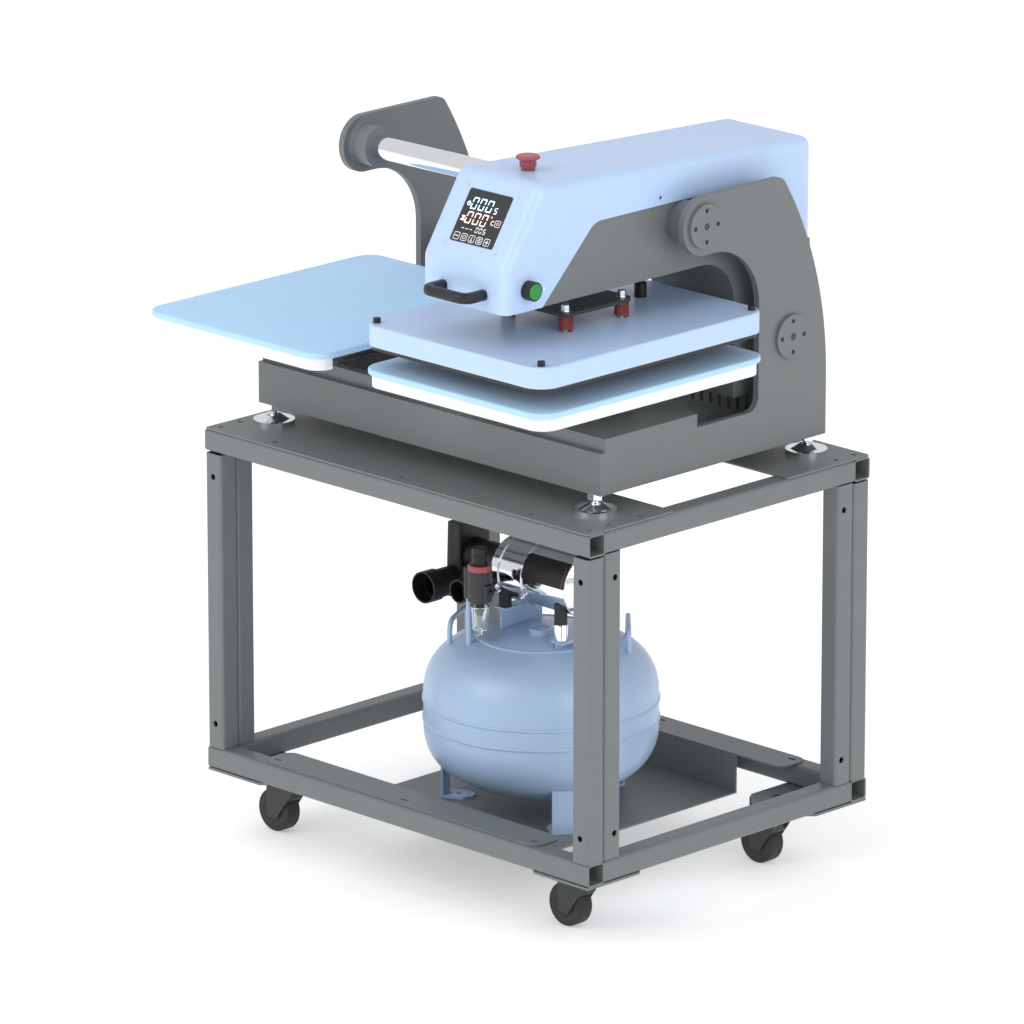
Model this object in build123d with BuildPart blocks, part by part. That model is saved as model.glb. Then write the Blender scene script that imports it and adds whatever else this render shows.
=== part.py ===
"""Sliding pneumatic heat press on a wheeled stand, with its air compressor on a tray below.

Millimetres, +Z up, the floor at Z = 0, the press's long direction along X and its front at -Y.
The origin is under the middle of the whole machine's box.
"""
import os
from math import asin, atan2, cos, pi, radians, sin, sqrt

from build123d import *

os.makedirs("parts", exist_ok=True)

# Clearances
weld_gap = 0.3          # between tubes that are welded to each other
seat_gap = 0.3          # between a moving piece and what it stops against or passes
pin_gap = 0.05          # radial clearance of a pin, a shaft or a bush
cut_room = 1.0          # how far a cutting shape runs past the faces it opens

# Stand
stand_width = 910.0
stand_depth = 670.0
frame_height = 601.0
tube_size = 38.0
tube_wall = 3.0
tube_radius = 6.0
leg_gasket = 3.0
frame_hole_r = 4.5
leg_hole_r = 5.5
leg_hole_from_end = 43.0
leg_hole_offset = 4.5
top_plate_thick = 3.0
top_plate_depth = 200.0
top_plate_radius = 4.0
top_plate_inset = 1.0
top_screw_inset_x = 19.0
top_screw_rows = (20.0, 64.0, 137.0)
stand_offset_x = 13.0    # the press stands a little left of the stand's middle

# Casters
caster_height = 117.0
corner_plate_thick = 4.0
corner_plate_x = 152.0
corner_plate_y = 148.0
corner_plate_cut = 26.0
caster_inset = 104.0
caster_trail = 38.0
wheel_dia = 75.0
wheel_width = 30.0
wheel_edge = 4.0
wheel_gap = 1.2
axle_dia = 8.0
fork_cheek = 3.0
kingpin_dia = 12.0
kingpin_head = 3.0
kingpin_head_dia = 19.0
fork_lead = 12.0          # how far the fork's boss and top reach past the axle
fork_top_half = 24.0      # half length of the fork's top plate round the kingpin
fork_rear_drop = 20.0

# Compressor tray
tray_sheet = 3.0
tray_from_side = 235.0    # tray end inside the stand's end
tray_from_front = 69.0
tray_drop = 71.0
tray_flange_from_side = 127.0
tray_flange_from_edge = 7.0
tray_flange_radius = 22.0
tray_slot_from_side = 148.0
tray_slot_inset = 25.0
tray_slot_length = 16.0
tray_slot_width = 7.0

# Air tank
tank_x = 42.0
tank_offset_y = -15.0
tank_radius = 199.5
tank_wall = 3.0
tank_bottom_gap = 20.0
tank_band = 66.0
tank_bottom_head = 121.0
tank_top_head = 107.0
tank_knuckle = 88.0
tank_bead = 2.5
tank_bead_spacing = 34.0
tank_bead_width = 7.0
tank_ring_radius = 106.0
tank_ring_width = 5.0
tank_boss_radius = 21.0
tank_boss_x = 22.0
tank_boss_height = 8.0
tank_boss_bore_r = 14.5
tank_boss_bore_depth = 3.0
foot_radius = 172.0
foot_angles = (208.0, 328.0, 86.0)
foot_width = 42.0
foot_plate = 4.0
foot_length = 54.0
foot_corner = 14.0
foot_gap = 0.3
handle_rod = 9.0
handle_angles = (207.0, 45.0)
handle_radius = 147.0
handle_span = 96.0
handle_height = 36.0

# Motor and pump over the tank
motor_axis_above_tank = 94.0
motor_radius = 53.5
motor_shroud_wall = 1.5
motor_left = -67.0        # from the tank's axis, as the other X places here
motor_right = 108.0
motor_dome = 14.0
cradle_left = -50.0
cradle_right = 82.0
cradle_plate = 4.0
cradle_half_y = 49.0
cradle_left_height = 34.0
cradle_right_height = 2.0
cradle_top_extra = 4.0
mount_post_dia = 22.0
stator_bore = 30.0
stator_half = 50.0
shield_half = 66.0
shield_from_left = 11.0
shield_thick = 5.0
air_gap = 0.5
shaft_dia = 12.0
fan_blades = 6
fan_room = 2.0
fan_radius = 44.0
fan_thick = 10.0
pump_cover_thick = 4.0
pump_cover_left = 10.0
pump_cover_length = 97.0
pump_cover_from = 5.0
pump_cover_to = 52.0
filter_from_tank = -174.0
filter_width = 34.0
filter_depth = 76.0
filter_low_above = 23.0   # above the tank's top
filter_high_above = 153.0
filter_taper = 2.0
filter_corner = 6.0
filter_duct_dia = 60.0
mouth_reach = 108.0       # mouths' front ahead of the tank's axis
mouth_large_dia = 55.0
mouth_small_dia = 41.0
mouth_wall = 2.5
mouth_floor = 12.0
mouth_rim = 28.0
mouth_step = 3.0
mouth_large_above = 54.0
mouth_small_above = 65.0
mouth_small_from_tank = -90.0
mouth_small_length = 96.0

# Pressure regulator
reg_from_tank = -34.0
reg_offset_y = -112.0
reg_body_radius = 21.0
reg_body_height = 53.0
reg_body_above_tank = 63.0
reg_ring_radius = 20.5
reg_ring_height = 10.0
reg_knob_radius = 13.5
reg_knob_height = 29.0
reg_knob_flutes = 16
reg_flute_r = 0.8
reg_spindle_dia = 10.0
reg_spindle_length = 18.0
bowl_radius = 15.5
bowl_height = 41.0
bowl_wall = 2.5
bowl_draft = 4.0
reg_post_dia = 10.0
reg_post_arm = 4.0
reg_port = 19.0
reg_port_low = 12.0
reg_port_hole = 6.0
reg_neck_dia = 14.0
reg_neck = 10.0
drain_dia = 9.0
drain_length = 11.0

# Press bed
bed_setback = 91.0       # bed front behind the stand's front
bed_width = 810.0
bed_depth = 537.0
bed_height = 95.0        # underside to deck top
foot_height = 33.0
side_plate = 12.0
deck_sheet = 2.5
front_panel_height = 72.0
front_ledge = 10.0
deck_depth = 217.0
deck_width = 175.0       # of one side deck, from the bed's end
deck_strip = 18.0
rear_shelf_drop = 23.0
floor_sheet = 2.0
vent_wall_inset = 30.0
vent_wall_height = 66.0
vent_slot_width = 6.0
vent_slot_height = 42.0
vent_slots_from_end = 48.0
vent_slot_count = 35
vent_slot_low = 10.0
throat_y = 373.0         # vertical edge of the side plates' throat, behind the bed front
throat_top = 361.5       # above the bed's underside
throat_radius = 108.0
throat_low_radius = 24.0
plate_head_radius = 50.0
plate_rear_radius = 635.0
plate_rear_start = 104.0
plate_top_corner = 22.0
upper_rail_y = 241.0
upper_rail_z = 411.5
lower_rail_y = 450.0
lower_rail_z = 185.0
rail_dia = 40.0
socket_dia = 71.0
socket_length = 37.5
disc_dia = 75.0
disc_thick = 6.0
disc_hole_r = 4.0
disc_hole_circle = 53.0
disc_centre_hole_r = 6.5
foot_inset_x = 23.5
foot_front_y = 13.0
foot_rear_y = 516.0
foot_disc_dia = 71.0
foot_disc_thick = 7.0
foot_cone_height = 11.0
foot_cone_base_r = 27.0
foot_cone_top_r = 9.0
foot_stud_dia = 12.0
foot_nut_flats = 24.0
foot_nut_thick = 11.0
foot_stud_above = 14.0
foot_stud_room = 2.0

# Lower tables
table_from_end = 145.0   # table centre inside the bed's end
table_y = 63.5           # centre behind the bed front
pad_over_side = 5.5      # pad edge past the tray's edge
pad_over_end = 6.5
pad_thick = 11.0
table_width = 413.0
table_length = 517.0
table_radius = 32.0
table_lip = 20.5
table_sheet = 2.0
table_underside = 158.0  # above the bed's underside
pedestal_inner = 3.0
pedestal_width = 70.0
pedestal_length = 196.0
pedestal_flange = 4.0
pedestal_column_x = 50.0
pedestal_column_y = 150.0
pedestal_wall = 3.0
pedestal_top_x = 180.0
pedestal_top_y = 260.0

# Carriage
carriage_width = 190.0
carriage_plate = 6.0
arm_underside = 326.6    # above the bed's underside
column_front_y = 365.0
column_rear_y = 550.0
column_bottom = 85.0
arm_bend_radius = 76.0
web_sheet = 4.0
bush_dia = 54.0
bush_flange_dia = 70.0
bush_flange = 5.0
bush_length = 60.0

# Head cover
head_reach = 170.0       # cover front ahead of the bed front
cover_sheet = 2.0
cover_gap = 0.3
cover_front_height = 73.4
cover_slope_run = 84.0
cover_slope_rise = 130.0
cover_top_drop = 29.0
cover_front_bend = 30.0
cover_top_bend = 22.0
cover_rear_bend = 18.0
cover_side_bend = 16.0    # along the edges where the sides meet the front, top and rear
cover_rear_y = 550.0
cover_raise = 121.0      # lower edge of the middle of the cover's sides above the arm's underside
cover_diag_start = 83.0
cover_diag_run = 121.0
cover_rear_skirt = 160.0
cover_notch_radius = 36.0

# Control screen on the sloped panel
screen_width = 97.0
screen_height = 92.0
screen_thick = 4.0
screen_proud = 1.0
screen_centre_up = 77.0
screen_radius = 4.0
board_thick = 8.0
board_margin = 8.0
screw_head_dia = 6.0
screw_head_thick = 1.5
screw_shank_dia = 3.4
screw_shank = 4.0
screw_side = 115.0
screw_rows = (27.0, 126.5)
side_screws = ((-84.0, 31.4), (185.0, 134.4))   # behind the bed front, above the arm

# Handle, buttons
handle_reach = 50.0
grip_length = 110.0
grip_dia = 18.0
grip_round = 5.0
grip_post_pitch = 92.0
grip_height = 27.0       # above the cover's lower edge
estop_y = -22.0          # behind the bed front
estop_collar_dia = 23.0
estop_collar_height = 8.0
estop_cap_dia = 40.0
estop_cap_thick = 12.0
estop_cap_round = 4.0
estop_skirt_dia = 28.0
estop_room = 1.0         # left under the skirt and the plunger when it is pushed
estop_travel = 5.0
estop_depth = 45.0
estop_plunger_dia = 16.0
estop_plunger_in = 8.0
button_y = -120.0
button_height = 35.4
bezel_dia = 32.0
bezel_length = 17.0
bezel_wall = 2.5
bezel_floor = 1.0
button_round = 2.0
button_body_dia = 25.0
button_body_depth = 34.0
button_proud = 2.5
button_length = 16.0

# Air cylinder and press plate
cylinder_dia = 80.0
cylinder_wall = 6.0
cylinder_height = 118.0
cylinder_cap = 14.0
piston_thick = 16.0
rod_dia = 20.0
press_plate_corner = 15.0
press_plate_thick = 6.0
spring_pitch_x = 132.0
spring_pitch_y = 130.0
spring_dia = 25.0
spring_wire = 3.2
spring_height = 27.0
spring_end_gap = 0.3
spring_turns = 6
bolt_dia = 8.0
bolt_head_flats = 13.0
bolt_head_thick = 10.0
bolt_in = 12.0
washer_dia = 18.0
washer_thick = 1.6

# Heated platen
platen_over_side = 2.5   # platen edge past the tray's edge
platen_over_end = 6.5
platen_radius = 37.0
cover_skirt = 35.5
cover_skin = 2.0
cover_round = 3.0
heat_plate_inset = 4.0
heat_plate_below = 7.0
heat_plate_thick = 20.0
heat_boss_dia = 18.0
closed_gap = 33.0        # heat plate above the pad at rest
knob_dia = 12.7
knob_height = 8.0
knob_inset = 20.0
gland_dia = 21.0
gland_height = 24.0
gland_neck_dia = 12.0
gland_neck_height = 80.0
gland_neck_room = 3.0
gland_offset_y = 177.5
rod_room = 3.0

# Places worked out from the sizes above
overhang = head_reach + handle_reach - bed_setback
stand_y = overhang / 2
stand_front = stand_y - stand_depth / 2
stand_rear = stand_y + stand_depth / 2
bed_front = stand_front + bed_setback
frame_bottom = caster_height + corner_plate_thick
frame_top = frame_bottom + frame_height
stand_top = frame_top + top_plate_thick
bed_bottom = stand_top + foot_height
deck_top = bed_bottom + bed_height
tube_in = tube_size / 2
corners = [(sx, sy) for sx in (-1, 1) for sy in (-1, 1)]
ends = (-1, 1)
table_centre_y = bed_front + table_y
table_centre_x = bed_width / 2 - table_from_end
deck_inner_x = bed_width / 2 - deck_width
pad_width = table_width + 2 * pad_over_side
pad_length = table_length + 2 * pad_over_end
pad_radius = table_radius + pad_over_side
platen_width = table_width + 2 * platen_over_side
platen_length = table_length + 2 * platen_over_end
tray_top = bed_bottom + table_underside + table_lip
pad_top = tray_top + pad_thick
heat_bottom = pad_top + closed_gap
skirt_bottom = heat_bottom + heat_plate_below
platen_top = skirt_bottom + cover_skirt
press_plate_z = platen_top + spring_height
press_plate_top = press_plate_z + press_plate_thick
arm_z = bed_bottom + arm_underside
carriage_x = table_centre_x


def save(part, name):
    """Label a finished piece and write it."""
    part.part.label = name
    export_step(part.part, f"parts/{name}.step")


def tube_profile():
    """Rounded square tube, centred on the sketch's current location."""
    RectangleRounded(tube_size, tube_size, tube_radius)
    inner = tube_size - 2 * tube_wall
    RectangleRounded(inner, inner, tube_radius - tube_wall, mode=Mode.SUBTRACT)


# Stand frames: front and rear tubes run the full width, side tubes lie between them
def frame_ring(level):
    """Two long tubes and two side tubes of one level of the stand."""
    with BuildPart() as ring:
        with BuildSketch(Plane.YZ.offset(stand_offset_x - stand_width / 2)):
            with Locations((stand_front + tube_in, level), (stand_rear - tube_in, level)):
                tube_profile()
        extrude(amount=stand_width)
        side_length = stand_depth - 2 * tube_size - 2 * weld_gap
        with BuildSketch(Plane.XZ.offset(-(stand_y - side_length / 2))):
            for sx in ends:
                with Locations((stand_offset_x + sx * (stand_width / 2 - tube_in), level)):
                    tube_profile()
        extrude(amount=-side_length)
    return ring


bottom_frame = frame_ring(frame_bottom + tube_in)
save(bottom_frame, "bottom_frame_tubes")
top_frame = frame_ring(frame_top - tube_in)
save(top_frame, "top_frame_tubes")

# Legs: two tubes side by side at each corner, the inner one behind the corner one
leg_bottom = frame_bottom + tube_size + weld_gap
leg_top = frame_top - tube_size - weld_gap
leg_x = stand_width / 2 - tube_in
leg_outer_y = stand_depth / 2 - tube_in
leg_inner_y = leg_outer_y - tube_size - weld_gap
with BuildPart() as legs:
    for sx, sy in corners:
        with BuildSketch(Plane.XY.offset(leg_bottom)):
            with Locations((stand_offset_x + sx * leg_x, stand_y + sy * leg_outer_y)):
                tube_profile()
        extrude(amount=leg_top - leg_gasket - leg_bottom)
        with BuildSketch(Plane.XY.offset(leg_bottom)):
            with Locations((stand_offset_x + sx * leg_x, stand_y + sy * leg_inner_y)):
                tube_profile()
        extrude(amount=leg_top - leg_bottom)
        hole_levels = (leg_bottom + leg_hole_from_end, leg_top - leg_hole_from_end)
        for level in hole_levels:
            outer_face = stand_y + sy * (leg_outer_y + tube_in)
            with BuildSketch(Plane.XZ.offset(-outer_face)):
                with Locations((stand_offset_x + sx * leg_x, level)):
                    Circle(leg_hole_r)
            extrude(amount=sy * 2 * tube_wall, mode=Mode.SUBTRACT)
            hole_y = stand_y + sy * (leg_inner_y - leg_hole_offset)
            side_face = stand_offset_x + sx * (leg_x + tube_in)
            with BuildSketch(Plane.YZ.offset(side_face)):
                with Locations((hole_y, level)):
                    Circle(leg_hole_r)
            extrude(amount=-sx * 2 * tube_wall, mode=Mode.SUBTRACT)
save(legs, "leg_tubes")

# Top plates at the front and the rear, open between them
with BuildPart() as top_plates:
    for sy in ends:
        plate_y = stand_y + sy * (stand_depth - top_plate_depth) / 2
        with BuildSketch(Plane.XY.offset(frame_top)):
            with Locations((stand_offset_x, plate_y)):
                RectangleRounded(stand_width - 2 * top_plate_inset, top_plate_depth, top_plate_radius)
            for sx in ends:
                for row in top_screw_rows:
                    hole_x = stand_offset_x + sx * (stand_width / 2 - top_screw_inset_x)
                    hole_y = stand_y + sy * (stand_depth / 2 - row)
                    with Locations((hole_x, hole_y)):
                        Circle(frame_hole_r, mode=Mode.SUBTRACT)
            for step in ends + (0,):
                hole_y = stand_y + sy * (stand_depth / 2 - top_screw_rows[0])
                with Locations((stand_offset_x + step * stand_width / 3, hole_y)):
                    Circle(frame_hole_r, mode=Mode.SUBTRACT)
        extrude(amount=top_plate_thick)
save(top_plates, "top_plates")

# Corner plates that the casters turn in
caster_x = stand_width / 2 - caster_inset
caster_y = stand_depth / 2 - caster_inset
with BuildPart() as corner_plates:
    for sx, sy in corners:
        outer_x = stand_offset_x + sx * stand_width / 2
        outer_y = stand_y + sy * stand_depth / 2
        with BuildSketch(Plane.XY.offset(caster_height)) as plate_sketch:
            with Locations((outer_x - sx * corner_plate_x / 2, outer_y - sy * corner_plate_y / 2)):
                Rectangle(corner_plate_x, corner_plate_y)
            free_corners = plate_sketch.vertices().sort_by_distance((outer_x, outer_y, 0))[1:]
            chamfer(free_corners, corner_plate_cut)
            with Locations((stand_offset_x + sx * caster_x, stand_y + sy * caster_y)):
                Circle(kingpin_dia / 2 + pin_gap, mode=Mode.SUBTRACT)
        extrude(amount=corner_plate_thick)
save(corner_plates, "corner_plates")

# Casters: a hooded fork turns in the corner plate, the wheel turns on the fork's axle
fork_inner = wheel_width / 2 + wheel_gap
fork_outer = fork_inner + fork_cheek
fork_top = caster_height - seat_gap
hood_radius = wheel_dia / 2 + wheel_gap + fork_cheek
for sx, sy in corners:
    side = "left" if sx < 0 else "right"
    place = "front" if sy < 0 else "rear"
    cx = stand_offset_x + sx * caster_x
    cy = stand_y + sy * caster_y
    wheel_x = cx - caster_trail
    wheel_z = wheel_dia / 2
    with BuildPart() as fork:
        with BuildSketch(Plane.XZ.offset(-(cy - fork_outer))):
            with BuildLine():
                Polyline(
                    (wheel_x - fork_lead, fork_top),
                    (wheel_x - fork_lead, wheel_z - fork_lead),
                    (wheel_x + fork_lead, wheel_z - fork_lead),
                    (cx + fork_top_half, fork_top - fork_rear_drop),
                    (cx + fork_top_half, fork_top),
                    close=True,
                )
            make_face()
        extrude(amount=-2 * fork_outer)
        with BuildSketch(Plane.XZ.offset(-(cy - fork_inner))):
            with Locations((wheel_x, wheel_z)):
                Circle(hood_radius)
            with BuildLine():
                Polyline(
                    (wheel_x - 2 * fork_lead, wheel_z),
                    (wheel_x - 2 * fork_lead, 0),
                    (cx + 2 * fork_top_half, 0),
                    (cx + 2 * fork_top_half, fork_top - fork_rear_drop),
                    (cx, fork_top - fork_rear_drop),
                    (cx, wheel_z),
                    close=True,
                )
            make_face()
        extrude(amount=-2 * fork_inner, mode=Mode.SUBTRACT)
        with BuildSketch(Plane.XY.offset(fork_top)):
            with Locations((cx, cy)):
                Circle(kingpin_dia / 2)
        extrude(amount=corner_plate_thick + 2 * seat_gap)
        with BuildSketch(Plane.XY.offset(frame_bottom + seat_gap)):
            with Locations((cx, cy)):
                Circle(kingpin_head_dia / 2)
        extrude(amount=kingpin_head)
        with BuildSketch(Plane.XZ.offset(-(cy - fork_outer))):
            with Locations((wheel_x, wheel_z)):
                Circle(axle_dia / 2)
        extrude(amount=-2 * fork_outer)
    save(fork, f"{place}_{side}_caster_fork")
    with BuildPart() as wheel:
        with BuildSketch(Plane.XZ.offset(-(cy - wheel_width / 2))):
            with Locations((wheel_x, wheel_z)):
                Circle(wheel_dia / 2)
                Circle(axle_dia / 2 + pin_gap, mode=Mode.SUBTRACT)
        extrude(amount=-wheel_width)
        rims = wheel.edges().filter_by(GeomType.CIRCLE).sort_by(SortBy.RADIUS)[-2:]
        fillet(rims, wheel_edge)
    save(wheel, f"{place}_{side}_caster_wheel")

# Tray for the compressor, hung from the bottom tubes by its flanges
tray_half_x = stand_width / 2 - tray_from_side
tray_half_y = stand_depth / 2 - tray_from_front
tray_flange_half_x = stand_width / 2 - tray_flange_from_side
tray_slot_x = stand_width / 2 - tray_slot_from_side
flange_z = frame_bottom + tube_size
floor_z = flange_z + tray_sheet - tray_drop
with BuildPart() as tray:
    with BuildSketch(Plane.YZ.offset(stand_offset_x - tray_half_x)):
        with BuildLine():
            inner_y = tray_half_y - tray_sheet
            Polyline(
                (stand_y - tray_half_y, floor_z),
                (stand_y + tray_half_y, floor_z),
                (stand_y + tray_half_y, flange_z),
                (stand_y + inner_y, flange_z),
                (stand_y + inner_y, floor_z + tray_sheet),
                (stand_y - inner_y, floor_z + tray_sheet),
                (stand_y - inner_y, flange_z),
                (stand_y - tray_half_y, flange_z),
                close=True,
            )
        make_face()
    extrude(amount=2 * tray_half_x)
    flange_outer = stand_depth / 2 - tray_flange_from_edge
    flange_depth = flange_outer - inner_y
    for sy in ends:
        with BuildSketch(Plane.XY.offset(flange_z)) as flange_sketch:
            with Locations((stand_offset_x, stand_y + sy * (flange_outer - flange_depth / 2))):
                Rectangle(2 * tray_flange_half_x, flange_depth)
            fillet(flange_sketch.vertices(), tray_flange_radius)
            with Locations((stand_offset_x, stand_y + sy * (inner_y + tray_sheet / 2))):
                Rectangle(2 * tray_half_x, tray_sheet)
            for step in (-tray_slot_x, 0, tray_slot_x):
                slot_y = stand_y + sy * (stand_depth / 2 - tray_slot_inset)
                with Locations((stand_offset_x + step, slot_y)):
                    SlotOverall(tray_slot_length, tray_slot_width, mode=Mode.SUBTRACT)
        extrude(amount=tray_sheet)
save(tray, "compressor_tray")

# Air tank: an upright drum with dished ends, two rolled beads and a screwed boss
tank_y = stand_y + tank_offset_y
tray_floor = floor_z + tray_sheet
tank_bottom = tray_floor + tank_bottom_gap
band_low = tank_bottom + tank_bottom_head
band_high = band_low + tank_band
tank_top = band_high + tank_top_head


def crown_radius(reach, knuckle, depth):
    """Radius of the crown that meets a knuckle arc smoothly in a dished end of this depth."""
    return ((reach - knuckle) ** 2 + depth ** 2 - knuckle ** 2) / (2 * (depth - knuckle))


def top_head_z(radius):
    """Height of the tank's upper dished end at a distance from its axis."""
    crown = crown_radius(tank_radius, tank_knuckle, tank_top_head)
    join = (tank_radius - tank_knuckle) * crown / (crown - tank_knuckle)
    if radius <= join:
        return tank_top - crown + sqrt(crown ** 2 - radius ** 2)
    across = radius - (tank_radius - tank_knuckle)
    return band_high + sqrt(tank_knuckle ** 2 - across ** 2)


def drum_line(grow):
    """Draw half of the drum's outline, grown outwards, from the bottom pole to the top pole."""
    reach = tank_radius + grow
    knuckle = tank_knuckle + grow
    centre = reach - knuckle
    poles = []
    heads = ((band_low, tank_bottom_head + grow, -1), (band_high, tank_top_head + grow, 1))
    for level, depth, sign in heads:
        crown = crown_radius(reach, knuckle, depth)
        pole = (0, level + sign * depth)
        core_z = pole[1] - sign * crown
        lean = atan2(abs(level - core_z), centre)
        join = (crown * cos(lean), core_z + sign * crown * sin(lean))
        half = lean / 2
        knee = (centre + knuckle * cos(half), level + sign * knuckle * sin(half))
        over = (lean + pi / 2) / 2
        brow = (crown * cos(over), core_z + sign * crown * sin(over))
        ThreePointArc((reach, level), knee, join)
        ThreePointArc(join, brow, pole)
        poles.append(pole)
    Line((reach, band_low), (reach, band_high))
    Line(poles[0], poles[1])


tank_plane = Plane(origin=(tank_x, tank_y, 0), x_dir=(1, 0, 0), z_dir=(0, -1, 0))
with BuildPart() as tank:
    with BuildSketch(tank_plane):
        with BuildLine():
            drum_line(0)
        make_face()
    revolve(axis=Axis((tank_x, tank_y, 0), (0, 0, 1)))
    with BuildSketch(tank_plane):
        for sz in ends:
            bead_z = (band_low + band_high) / 2 + sz * tank_bead_spacing / 2
            with Locations((tank_radius - tank_bead, bead_z)):
                Ellipse(2 * tank_bead, tank_bead_width / 2)
        with Locations((tank_ring_radius, top_head_z(tank_ring_radius))):
            Ellipse(tank_ring_width, tank_bead)
    revolve(axis=Axis((tank_x, tank_y, 0), (0, 0, 1)))
    with BuildSketch(Plane.XY.offset(tank_top - tank_boss_height)):
        with Locations((tank_x + tank_boss_x, tank_y - tank_boss_x)):
            Circle(tank_boss_radius)
    extrude(amount=2 * tank_boss_height)
    with BuildSketch(Plane.XY.offset(tank_top + tank_boss_height)):
        with Locations((tank_x + tank_boss_x, tank_y - tank_boss_x)):
            Circle(tank_boss_bore_r)
    extrude(amount=-tank_boss_bore_depth, mode=Mode.SUBTRACT)
    with BuildSketch(tank_plane):
        with BuildLine():
            drum_line(-tank_wall)
        make_face()
    revolve(axis=Axis((tank_x, tank_y, 0), (0, 0, 1)), mode=Mode.SUBTRACT)
save(tank, "air_tank")

# Tank feet: bent brackets whose upright edges follow the drum
with BuildPart() as tank_feet:
    foot_top = band_low - tank_bead_width
    for angle in foot_angles:
        outward = (cos(radians(angle)), sin(radians(angle)), 0)
        out = Plane(origin=(tank_x, tank_y, 0), x_dir=outward, z_dir=(outward[1], -outward[0], 0))
        with BuildSketch(out.offset(-foot_width / 2)):
            with BuildLine():
                Polyline(
                    (foot_radius - foot_length, tray_floor),
                    (foot_radius, tray_floor),
                    (foot_radius, foot_top),
                    (foot_radius - foot_plate, foot_top),
                    (foot_radius - foot_plate, tray_floor + foot_plate),
                    (foot_radius - foot_length, tray_floor + foot_plate),
                    close=True,
                )
            make_face()
        extrude(amount=foot_width)
        inner_end = out.origin + out.x_dir * (foot_radius - foot_length)
        upright = tank_feet.edges().filter_by(Axis.Z)
        corners_in = upright.sort_by_distance(inner_end + (0, 0, tray_floor))[:2]
        chamfer(corners_in, foot_corner)
        hole_at = foot_radius - foot_length / 2
        hole_x = tank_x + hole_at * cos(radians(angle))
        hole_y = tank_y + hole_at * sin(radians(angle))
        with BuildSketch(Plane.XY.offset(tray_floor)):
            with Locations((hole_x, hole_y)):
                Circle(frame_hole_r)
        extrude(amount=foot_plate, mode=Mode.SUBTRACT)
    with BuildSketch(tank_plane):
        with BuildLine():
            drum_line(foot_gap)
        make_face()
    revolve(axis=Axis((tank_x, tank_y, 0), (0, 0, 1)), mode=Mode.SUBTRACT)
save(tank_feet, "tank_feet")

# Carrying handles: bent rods that stand on the drum's shoulder
with BuildPart() as tank_handles:
    for angle in handle_angles:
        normal = (cos(radians(angle)), sin(radians(angle)), 0)
        across = (-sin(radians(angle)), cos(radians(angle)), 0)
        rod_r = handle_rod / 2
        foot_r = sqrt(handle_radius ** 2 + (handle_span / 2) ** 2)
        rod_low = top_head_z(foot_r + rod_r) - handle_rod
        rod_high = top_head_z(handle_radius) + handle_height
        middle = (tank_x + handle_radius * normal[0], tank_y + handle_radius * normal[1], 0)
        with BuildLine(Plane(origin=middle, x_dir=across, z_dir=normal)) as path:
            FilletPolyline(
                (-handle_span / 2, rod_low),
                (-handle_span / 2, rod_high),
                (handle_span / 2, rod_high),
                (handle_span / 2, rod_low),
                radius=2 * handle_rod,
            )
        with BuildSketch(Plane(origin=path.line @ 0, z_dir=path.line % 0)):
            Circle(rod_r)
        sweep(path=path.line)
    with BuildSketch(tank_plane):
        with BuildLine():
            drum_line(foot_gap)
        make_face()
    revolve(axis=Axis((tank_x, tank_y, 0), (0, 0, 1)), mode=Mode.SUBTRACT)
save(tank_handles, "tank_handles")

# Motor cradle: two upright plates on the drum, and the regulator's post
motor_z = tank_top + motor_axis_above_tank
cradle_places = (
    (tank_x + cradle_left, tank_top + cradle_left_height),
    (tank_x + cradle_right, tank_top + cradle_right_height),
)
reg_x = tank_x + reg_from_tank
reg_y = tank_y + reg_offset_y
reg_body_low = tank_top + reg_body_above_tank
post_x = reg_x - reg_body_radius - reg_post_dia / 2
with BuildPart() as cradle:
    for plate_x, cradle_top in cradle_places:
        with BuildSketch(Plane.YZ.offset(plate_x)):
            with Locations((tank_y, cradle_top - tank_top_head / 2)):
                Rectangle(2 * cradle_half_y, tank_top_head)
        extrude(amount=cradle_plate)
        with BuildSketch(Plane.XY.offset(cradle_top - cradle_plate)):
            with Locations((plate_x + cradle_plate / 2, tank_y)):
                Rectangle(mount_post_dia + cradle_top_extra, 2 * cradle_half_y)
        extrude(amount=cradle_plate)
    with BuildSketch(Plane.XY.offset(band_high)):
        with Locations((post_x, reg_y)):
            Circle(reg_post_dia / 2)
    extrude(amount=reg_body_low - band_high)
    with BuildSketch(tank_plane):
        with BuildLine():
            drum_line(foot_gap)
        make_face()
    revolve(axis=Axis((tank_x, tank_y, 0), (0, 0, 1)), mode=Mode.SUBTRACT)
save(cradle, "motor_cradle")

# Rubber mounts between the cradle and the motor
mount_y = cradle_half_y - mount_post_dia / 2
mount_top = motor_z - motor_radius / 2
motor_start = tank_x + motor_left
motor_end = tank_x + motor_right
with BuildPart() as mounts:
    for plate_x, cradle_top in cradle_places:
        for sy in ends:
            with BuildSketch(Plane.XY.offset(cradle_top)):
                with Locations((plate_x + cradle_plate / 2, tank_y + sy * mount_y)):
                    Circle(mount_post_dia / 2)
            extrude(amount=mount_top - cradle_top)
    with BuildSketch(Plane.YZ.offset(motor_start)):
        with Locations((tank_y, motor_z)):
            Circle(motor_radius + foot_gap)
    extrude(amount=motor_end - motor_start, mode=Mode.SUBTRACT)
save(mounts, "motor_mounts")

# Motor: shroud with a domed right end, stator with end shields, and the rotor with its fan
motor_mid = motor_start + shield_from_left + shield_half
shroud_inner = motor_radius - motor_shroud_wall


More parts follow.
